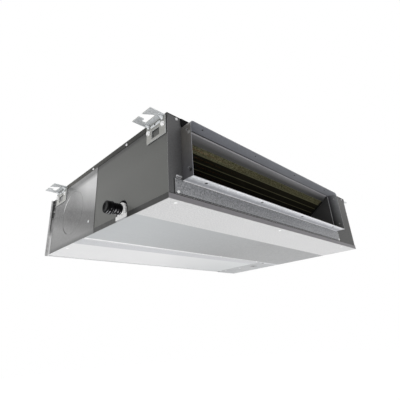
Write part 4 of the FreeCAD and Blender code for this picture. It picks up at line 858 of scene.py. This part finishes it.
def piece(name, mesh, finish, replaced=(), smooth=True, body="casing"):
    """A finished piece of this file's own, which rides on a body and may stand for CAD nodes."""
    data = bpy.data.meshes.new(name)
    bmesh.ops.recalc_face_normals(mesh, faces=mesh.faces)
    mesh.to_mesh(data)
    mesh.free()
    data.materials.append(FINISHES[finish])
    data.polygons.foreach_set("use_smooth", [smooth] * len(data.polygons))
    item = bpy.data.objects.new(name, data)
    bpy.context.scene.collection.objects.link(item)
    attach(item, body)
    if replaced:
        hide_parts(*replaced)


def facing(direction):
    """The turn that carries +Z to a direction."""
    return Vector((0, 0, 1)).rotation_difference(Vector(direction)).to_matrix().to_4x4()


def lathe(mesh, profile, place, steps):
    """Turn a profile of (radius, height) points round +Z, then put it in place."""
    rings = []
    for radius, height in profile:
        ring = []
        for step in range(steps if radius else 1):
            angle = step * math.tau / steps
            point = Vector((radius * math.cos(angle), radius * math.sin(angle), height))
            ring.append(mesh.verts.new(place @ point))
        rings.append(ring)
    for lower, upper in zip(rings, rings[1:]):
        for step in range(steps):
            after = (step + 1) % steps
            corners = [lower[step % len(lower)], lower[after % len(lower)],
                       upper[after % len(upper)], upper[step % len(upper)]]
            unique = list(dict.fromkeys(corners))
            if len(unique) > 2:
                mesh.faces.new(unique)
    return rings


def tube(mesh, profile, place, steps):
    """A turned ring: its profile is closed, so that the ring is solid."""
    lathe(mesh, [*profile, profile[0]], place, steps)
    bmesh.ops.remove_doubles(mesh, verts=mesh.verts, dist=SAME_POINT)


def loft(mesh, sections):
    """Join closed outlines of equal length with faces, and close both ends."""
    rings = [[mesh.verts.new(point) for point in section] for section in sections]
    for near, far in zip(rings, rings[1:]):
        for first in range(len(near)):
            after = (first + 1) % len(near)
            mesh.faces.new((near[first], near[after], far[after], far[first]))
    mesh.faces.new(rings[0])
    mesh.faces.new(rings[-1][::-1])


def screw_head(mesh, place, radius, height):
    """A domed head with a cross-shaped recess; +Z points out of the sheet."""
    dome = [(1.0, 0.0), (1.0, 0.72), (0.94, 0.9), (0.8, 0.97)]
    crown = [(0.5, 1.0), (0.3, 1.0), (0.12, 1.0), (0, 1.0)]
    profile = [(radius * across, height * up) for across, up in dome + crown]
    rings = lathe(mesh, profile, place, SCREW_SIDES)
    depth = place.to_3x3() @ Vector((0, 0, -0.6 * height))
    for ring in rings[len(dome):]:
        for vertex in ring[::SCREW_SIDES // 4]:
            vertex.co += depth


def screws(name, node, direction):
    """Round screw heads where a CAD node has its plain ones; those of the sides look outwards."""
    mesh = bmesh.new()
    outward = Vector(direction)
    for low, high in islands(node):
        centre = (low + high) / 2
        side = outward
        if outward.x:
            side = outward * (1 if centre.x > 0 else -1)
        across = [high[axis] - low[axis] for axis in range(3) if not side[axis]]
        height = sum(abs(side[axis]) * (high[axis] - low[axis]) for axis in range(3))
        foot = centre - side * height / 2
        screw_head(mesh, Matrix.Translation(foot) @ facing(side), min(across) / 2, height)
    piece(name, mesh, "screw_zinc", (node,))


def bolt_heads():
    """Hexagon heads with a chamfered crown, each on a washer."""
    mesh = bmesh.new()
    for low, high in islands("hanger_bolts"):
        centre = (low + high) / 2
        side = Vector((1 if centre.x > 0 else -1, 0, 0))
        length = high.x - low.x
        place = Matrix.Translation(centre - side * length / 2) @ facing(side)
        radius = min(high.y - low.y, high.z - low.z) / 2
        rise = 0.22 * length
        washer = [(0, 0), (1.15 * radius, 0), (1.15 * radius, rise), (0, rise)]
        head = [(1.1 * radius, rise), (1.1 * radius, 0.8 * length), (0.9 * radius, length), (0, length)]
        lathe(mesh, washer, place, WASHER_SIDES)
        lathe(mesh, head, place, BOLT_SIDES)
    piece("hanger_bolt_heads", mesh, "screw_zinc", ("hanger_bolts",), smooth=False)


def gusset(mesh, face, side, centre, under):
    """A rib across a hanger's bend, highest in its middle."""
    sections = []
    for step in range(GUSSET_STEPS + 1):
        turn = math.pi * step / GUSSET_STEPS
        reach = max(0.08, math.sin(turn) ** 0.7) * GUSSET_REACH
        y = centre - GUSSET_WIDTH / 2 * math.cos(turn)
        slope = [Vector((face + side * reach * (1 - part), y, under - reach * part))
                 for part in (0, 0.3, 0.7, 1)]
        sections.append([Vector((face, y, under)), *slope])
    loft(mesh, sections)


def leg_bead(mesh, face, side, start, end, middle):
    """A long half-round bead on a hanger's leg, narrower at its ends."""
    arc = [math.pi * step / BEAD_STEPS for step in range(BEAD_STEPS + 1)]
    sections = []
    for part in (0, 0.04, 0.1, 0.9, 0.96, 1):
        swell = min(1.0, 0.15 + math.sqrt(max(0.0, 1 - (2 * part - 1) ** 8)))
        y = start + (end - start) * part
        sections.append([Vector((face + side * BEAD_RISE * swell * math.sin(angle), y,
                                 middle + BEAD_WIDTH / 2 * swell * math.cos(angle))) for angle in arc])
    loft(mesh, sections)


def hanger_beads(name):
    """What stiffens a hanger's bend: a gusset pressed into each end of it, and a long bead on the leg."""
    low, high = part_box(name)
    wall, side = hanger_wall(name)
    face = wall + side * HANGER_SHEET
    under = high.z - HANGER_SHEET
    mesh = bmesh.new()
    for centre in (low.y + GUSSET_INSET, high.y - GUSSET_INSET):
        gusset(mesh, face, side, centre, under)
    leg_bead(mesh, face, side, low.y + BEAD_INSET, high.y - BEAD_INSET, under - BEAD_DROP)
    piece(f"{name}_beads", mesh, "bead_zinc")


def drain_cap():
    """The rubber cap: a ribbed neck, and a wider grip with a rolled rim; its profile is in millimetres."""
    low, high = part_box("drain_plug")
    centre = (low + high) / 2
    place = Matrix.Translation((high.x, centre.y, centre.z)) @ facing((-1, 0, 0))
    neck = 12.4
    rib = neck + 0.9
    grip = 14.4
    groove = grip - 0.4
    rim = 15.3
    profile = [(11.1, 0), (neck - 0.7, 0), (neck, 0.8)]
    for start in (3.2, 8.6, 14.0, 19.4):
        profile += [(neck, start), (rib, start + 0.7), (rib, start + 1.9), (neck, start + 2.6)]
    profile += [(neck + 1.0, 22.8), (rim - 0.4, 23.4), (rim, 24.2), (rim - 0.2, 25.6), (grip, 26.3)]
    for start in (28.0, 30.8, 33.6):
        profile += [(grip, start), (groove, start + 0.3), (groove, start + 0.9), (grip, start + 1.2)]
    profile += [(grip, 36.2), (grip - 0.7, 37.3), (grip - 2.2, 38.0), (8, 38.0), (7, 37.2), (0, 37.2)]
    mesh = bmesh.new()
    lathe(mesh, [(radius * MM, height * MM) for radius, height in profile], place, CAP_SIDES)
    piece("drain_cap_rubber", mesh, "cap_rubber", ("drain_plug",), body="drain_cap")


def coil_fins():
    """The coil's fins, each with a ridge on its front edge between one pair of tubes and the next."""
    low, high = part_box("fin_pack")
    down = Vector((0, math.cos(COIL_TILT), -math.sin(COIL_TILT)))
    through = Vector((0, math.sin(COIL_TILT), math.cos(COIL_TILT)))
    corner = Vector((0, low.y, high.z - COIL_DEPTH * math.cos(COIL_TILT)))
    outline = [(0.0, COIL_DEPTH), (0.0, 0.0)]
    for row in range(COIL_ROWS):
        start = row * TUBE_PITCH
        end = start + TUBE_PITCH
        outline += [(start + RIDGE, RECESS), (end - RIDGE, RECESS), (end, 0.0)]
    outline.append((COIL_ROWS * TUBE_PITCH, COIL_DEPTH))
    flat = [corner + down * along + through * depth for along, depth in outline]
    count = round((high.x - low.x - FIN_SHEET) / FIN_PITCH)
    step = (high.x - low.x - FIN_SHEET) / count
    mesh = bmesh.new()
    for number in range(count + 1):
        start = low.x + number * step
        loft(mesh, [[(x, point.y, point.z) for point in flat] for x in (start, start + FIN_SHEET)])
    piece("coil_fins", mesh, "fins", ("fin_pack",), smooth=False)


def knockout_bead():
    """The raised ring round the fresh-air knock-out on the left side."""
    low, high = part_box("fresh_air_knockout")
    radius = (high.z - low.z) / 2
    centre = (low + high) / 2
    place = Matrix.Translation((low.x, centre.y, centre.z)) @ facing((-1, 0, 0))
    corners = ((-1.8, 0), (-1.1, 0.06), (0, 0.09), (1.1, 0.06), (1.8, 0))
    profile = [(radius + across * MM, height * MM) for across, height in corners]
    mesh = bmesh.new()
    tube(mesh, profile, place, RING_SIDES)
    piece("knockout_bead", mesh, "ring_zinc")


def rim(mesh, place):
    """One rim: it flares from the sheet and ends in a torn lip."""
    corners = ((0, -0.9), (1.3, 0), (0.7, 1.2), (0.5, 2.6), (0, 2.6))
    profile = [(HOLE_RADIUS + across * MM, height * MM) for across, height in corners]
    tube(mesh, profile, place, HOLE_SIDES)


def duct_hole_rims():
    """The rims punching leaves behind the duct's screw holes, turned from the air stream, near-black as
    painted shade.
    """
    low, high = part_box("outlet_collar")
    mesh = bmesh.new()
    for x, _ in duct_holes():
        rim(mesh, Matrix.Translation((x, low.y + HOLE_INSET, high.z - COLLAR_HEAD)))
    piece("duct_hole_rims", mesh, "hole_shade_steel")


def hole_shades():
    """Dark discs behind the lip, put as painted shade where the duct's screw holes are seen."""
    profile = [(0, 0), (SHADE_RADIUS, 0), (SHADE_RADIUS, SHADE_SHEET), (0, SHADE_SHEET)]
    mesh = bmesh.new()
    for x, y, z in lip_holes():
        lathe(mesh, profile, Matrix.Translation((x, y, z + SHADE_SHEET)), HOLE_SIDES)
    piece("lip_hole_shades", mesh, "black_foam")


def strip_tab():
    """The curled tab at the strip's left end."""
    low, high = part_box("lower_front_strip")
    centre_y = TAB_ROOT - TAB_RADIUS
    centre_z = high.z + TAB_RADIUS
    mesh = bmesh.new()
    section = []
    for radius, order in ((TAB_RADIUS, 1), (TAB_RADIUS - TAB_SHEET, -1)):
        angles = [math.radians(-90 + TAB_STEP_DEGREES * step) for step in range(TAB_STEPS + 1)][::order]
        section += [(centre_y + radius * math.cos(a), centre_z + radius * math.sin(a)) for a in angles]
    start = low.x + TAB_INSET
    loft(mesh, [[(x, y, z) for y, z in section] for x in (start, start + TAB_WIDTH)])
    piece("strip_tab", mesh, "strip_zinc")


def return_edge():
    """The left edge of the return frame, turned outwards for the duct to seat on."""
    low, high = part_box("return_frame")
    front = high.y - EDGE_SHEET
    outline = [(low.x, high.y), (low.x, front - EDGE_SHEET), (low.x - EDGE_SHEET, front),
               (low.x - EDGE_LIP, front), (low.x - EDGE_LIP, high.y)]
    mesh = bmesh.new()
    loft(mesh, [[(x, y, z) for x, y in outline] for z in (low.z, high.z)])
    piece("return_left_edge", mesh, "edge_zinc", smooth=False)


# stage

def seen(tree):
    """1 for the rays that show the surroundings to the eye or in a reflection, 0 for all other light."""
    path = add(tree, "ShaderNodeLightPath").outputs
    result = path["Is Camera Ray"]
    for kind in ("Is Glossy Ray", "Is Transmission Ray"):
        either = add(tree, "ShaderNodeMath", {0: result, 1: path[kind]}, operation="MAXIMUM")
        result = either.outputs["Value"]
    return result


def floor_paint():
    """Pale paint that looks white, more so far away, and keeps the shadow near the unit."""
    material, tree, shader = new_material("floor_paint")
    spot = Spot(tree)
    tree.links.new(spot.shaded("f2f2f2", spot.noise(2), 0.01), shader.inputs["Base Color"])
    shader.inputs["Roughness"].default_value = 0.8
    away = add(tree, "ShaderNodeVectorMath", {0: spot.point}, operation="LENGTH").outputs["Value"]
    lift = spot.both(seen(tree), spot.ramp(away, GLOW_START, GLOW_END, GLOW_NEAR, GLOW_FAR))
    glow = add(tree, "ShaderNodeEmission", {"Color": WHITE, "Strength": lift})
    total = add(tree, "ShaderNodeAddShader", {0: shader.outputs["BSDF"], 1: glow.outputs["Emission"]})
    tree.links.new(total.outputs["Shader"], tree.nodes["Material Output"].inputs["Surface"])
    return material


def floor():
    """A wide disc under the unit."""
    mesh = bmesh.new()
    bmesh.ops.create_circle(mesh, cap_ends=True, radius=FLOOR_RADIUS, segments=128)
    data = bpy.data.meshes.new("floor")
    mesh.to_mesh(data)
    mesh.free()
    item = bpy.data.objects.new("floor", data)
    item.location.z = FLOOR_HEIGHT
    data.materials.append(floor_paint())
    bpy.context.scene.collection.objects.link(item)


def lamp(name, place, aim, width, strength):
    """A soft square lamp that the camera doesn't see."""
    data = bpy.data.lights.new(name, "AREA")
    data.shape = "SQUARE"
    data.size = width
    data.energy = strength * math.pi * width * width
    item = bpy.data.objects.new(name, data)
    item.location = place
    item.rotation_euler = (Vector(aim) - Vector(place)).to_track_quat("-Z", "Y").to_euler()
    item.visible_camera = False
    bpy.context.scene.collection.objects.link(item)


def lights():
    """All lamps round the unit."""
    for name, (place, aim, width, strength) in LAMPS.items():
        lamp(name, place, aim, width, strength)


def world():
    """White to the eye and in reflections, and a soft even grey for all other light."""
    item = bpy.data.worlds.new("studio")
    item.use_nodes = True
    tree = item.node_tree
    tree.nodes.clear()
    strength = add(tree, "ShaderNodeMapRange", {"Value": seen(tree), "To Min": AMBIENT, "To Max": 1.0})
    light = strength.outputs["Result"]
    background = add(tree, "ShaderNodeBackground", {"Strength": light, "Color": WHITE})
    output = add(tree, "ShaderNodeOutputWorld")
    tree.links.new(background.outputs["Background"], output.inputs["Surface"])
    bpy.context.scene.world = item


def camera():
    """The photograph's view: from in front on the left, below the casing, looking up."""
    level = math.cos(CAMERA_LIFT)
    back = Vector((math.sin(CAMERA_TURN) * level, -math.cos(CAMERA_TURN) * level, math.sin(CAMERA_LIFT)))
    right = Vector((0, 0, 1)).cross(back).normalized()
    up = back.cross(right)
    rolled_right = right * math.cos(CAMERA_ROLL) + up * math.sin(CAMERA_ROLL)
    rolled_up = up * math.cos(CAMERA_ROLL) - right * math.sin(CAMERA_ROLL)
    data = bpy.data.cameras.new("photo_camera")
    data.sensor_width = SENSOR_WIDTH
    data.lens = LENS
    data.shift_x = SHIFT_X
    data.shift_y = SHIFT_Y
    data.clip_start = CLIP_START
    item = bpy.data.objects.new("photo_camera", data)
    matrix = Matrix((rolled_right, rolled_up, back)).transposed().to_4x4()
    matrix.translation = CAMERA_PLACE
    item.matrix_world = matrix
    bpy.context.scene.collection.objects.link(item)
    bpy.context.scene.camera = item


finish_nodes()
coil_fins()
drain_cap()
bolt_heads()
knockout_bead()
duct_hole_rims()
strip_tab()
hole_shades()
return_edge()
for hanger in HANGERS:
    hanger_beads(hanger)
screws("side_screw_heads", "side_screws", (1, 0, 0))
screws("front_screw_heads", "front_screws", (0, -1, 0))
screws("bottom_screw_heads", "bottom_screws", (0, 0, -1))
floor()
lights()
world()
camera()
bpy.context.scene.view_settings.view_transform = "Standard"
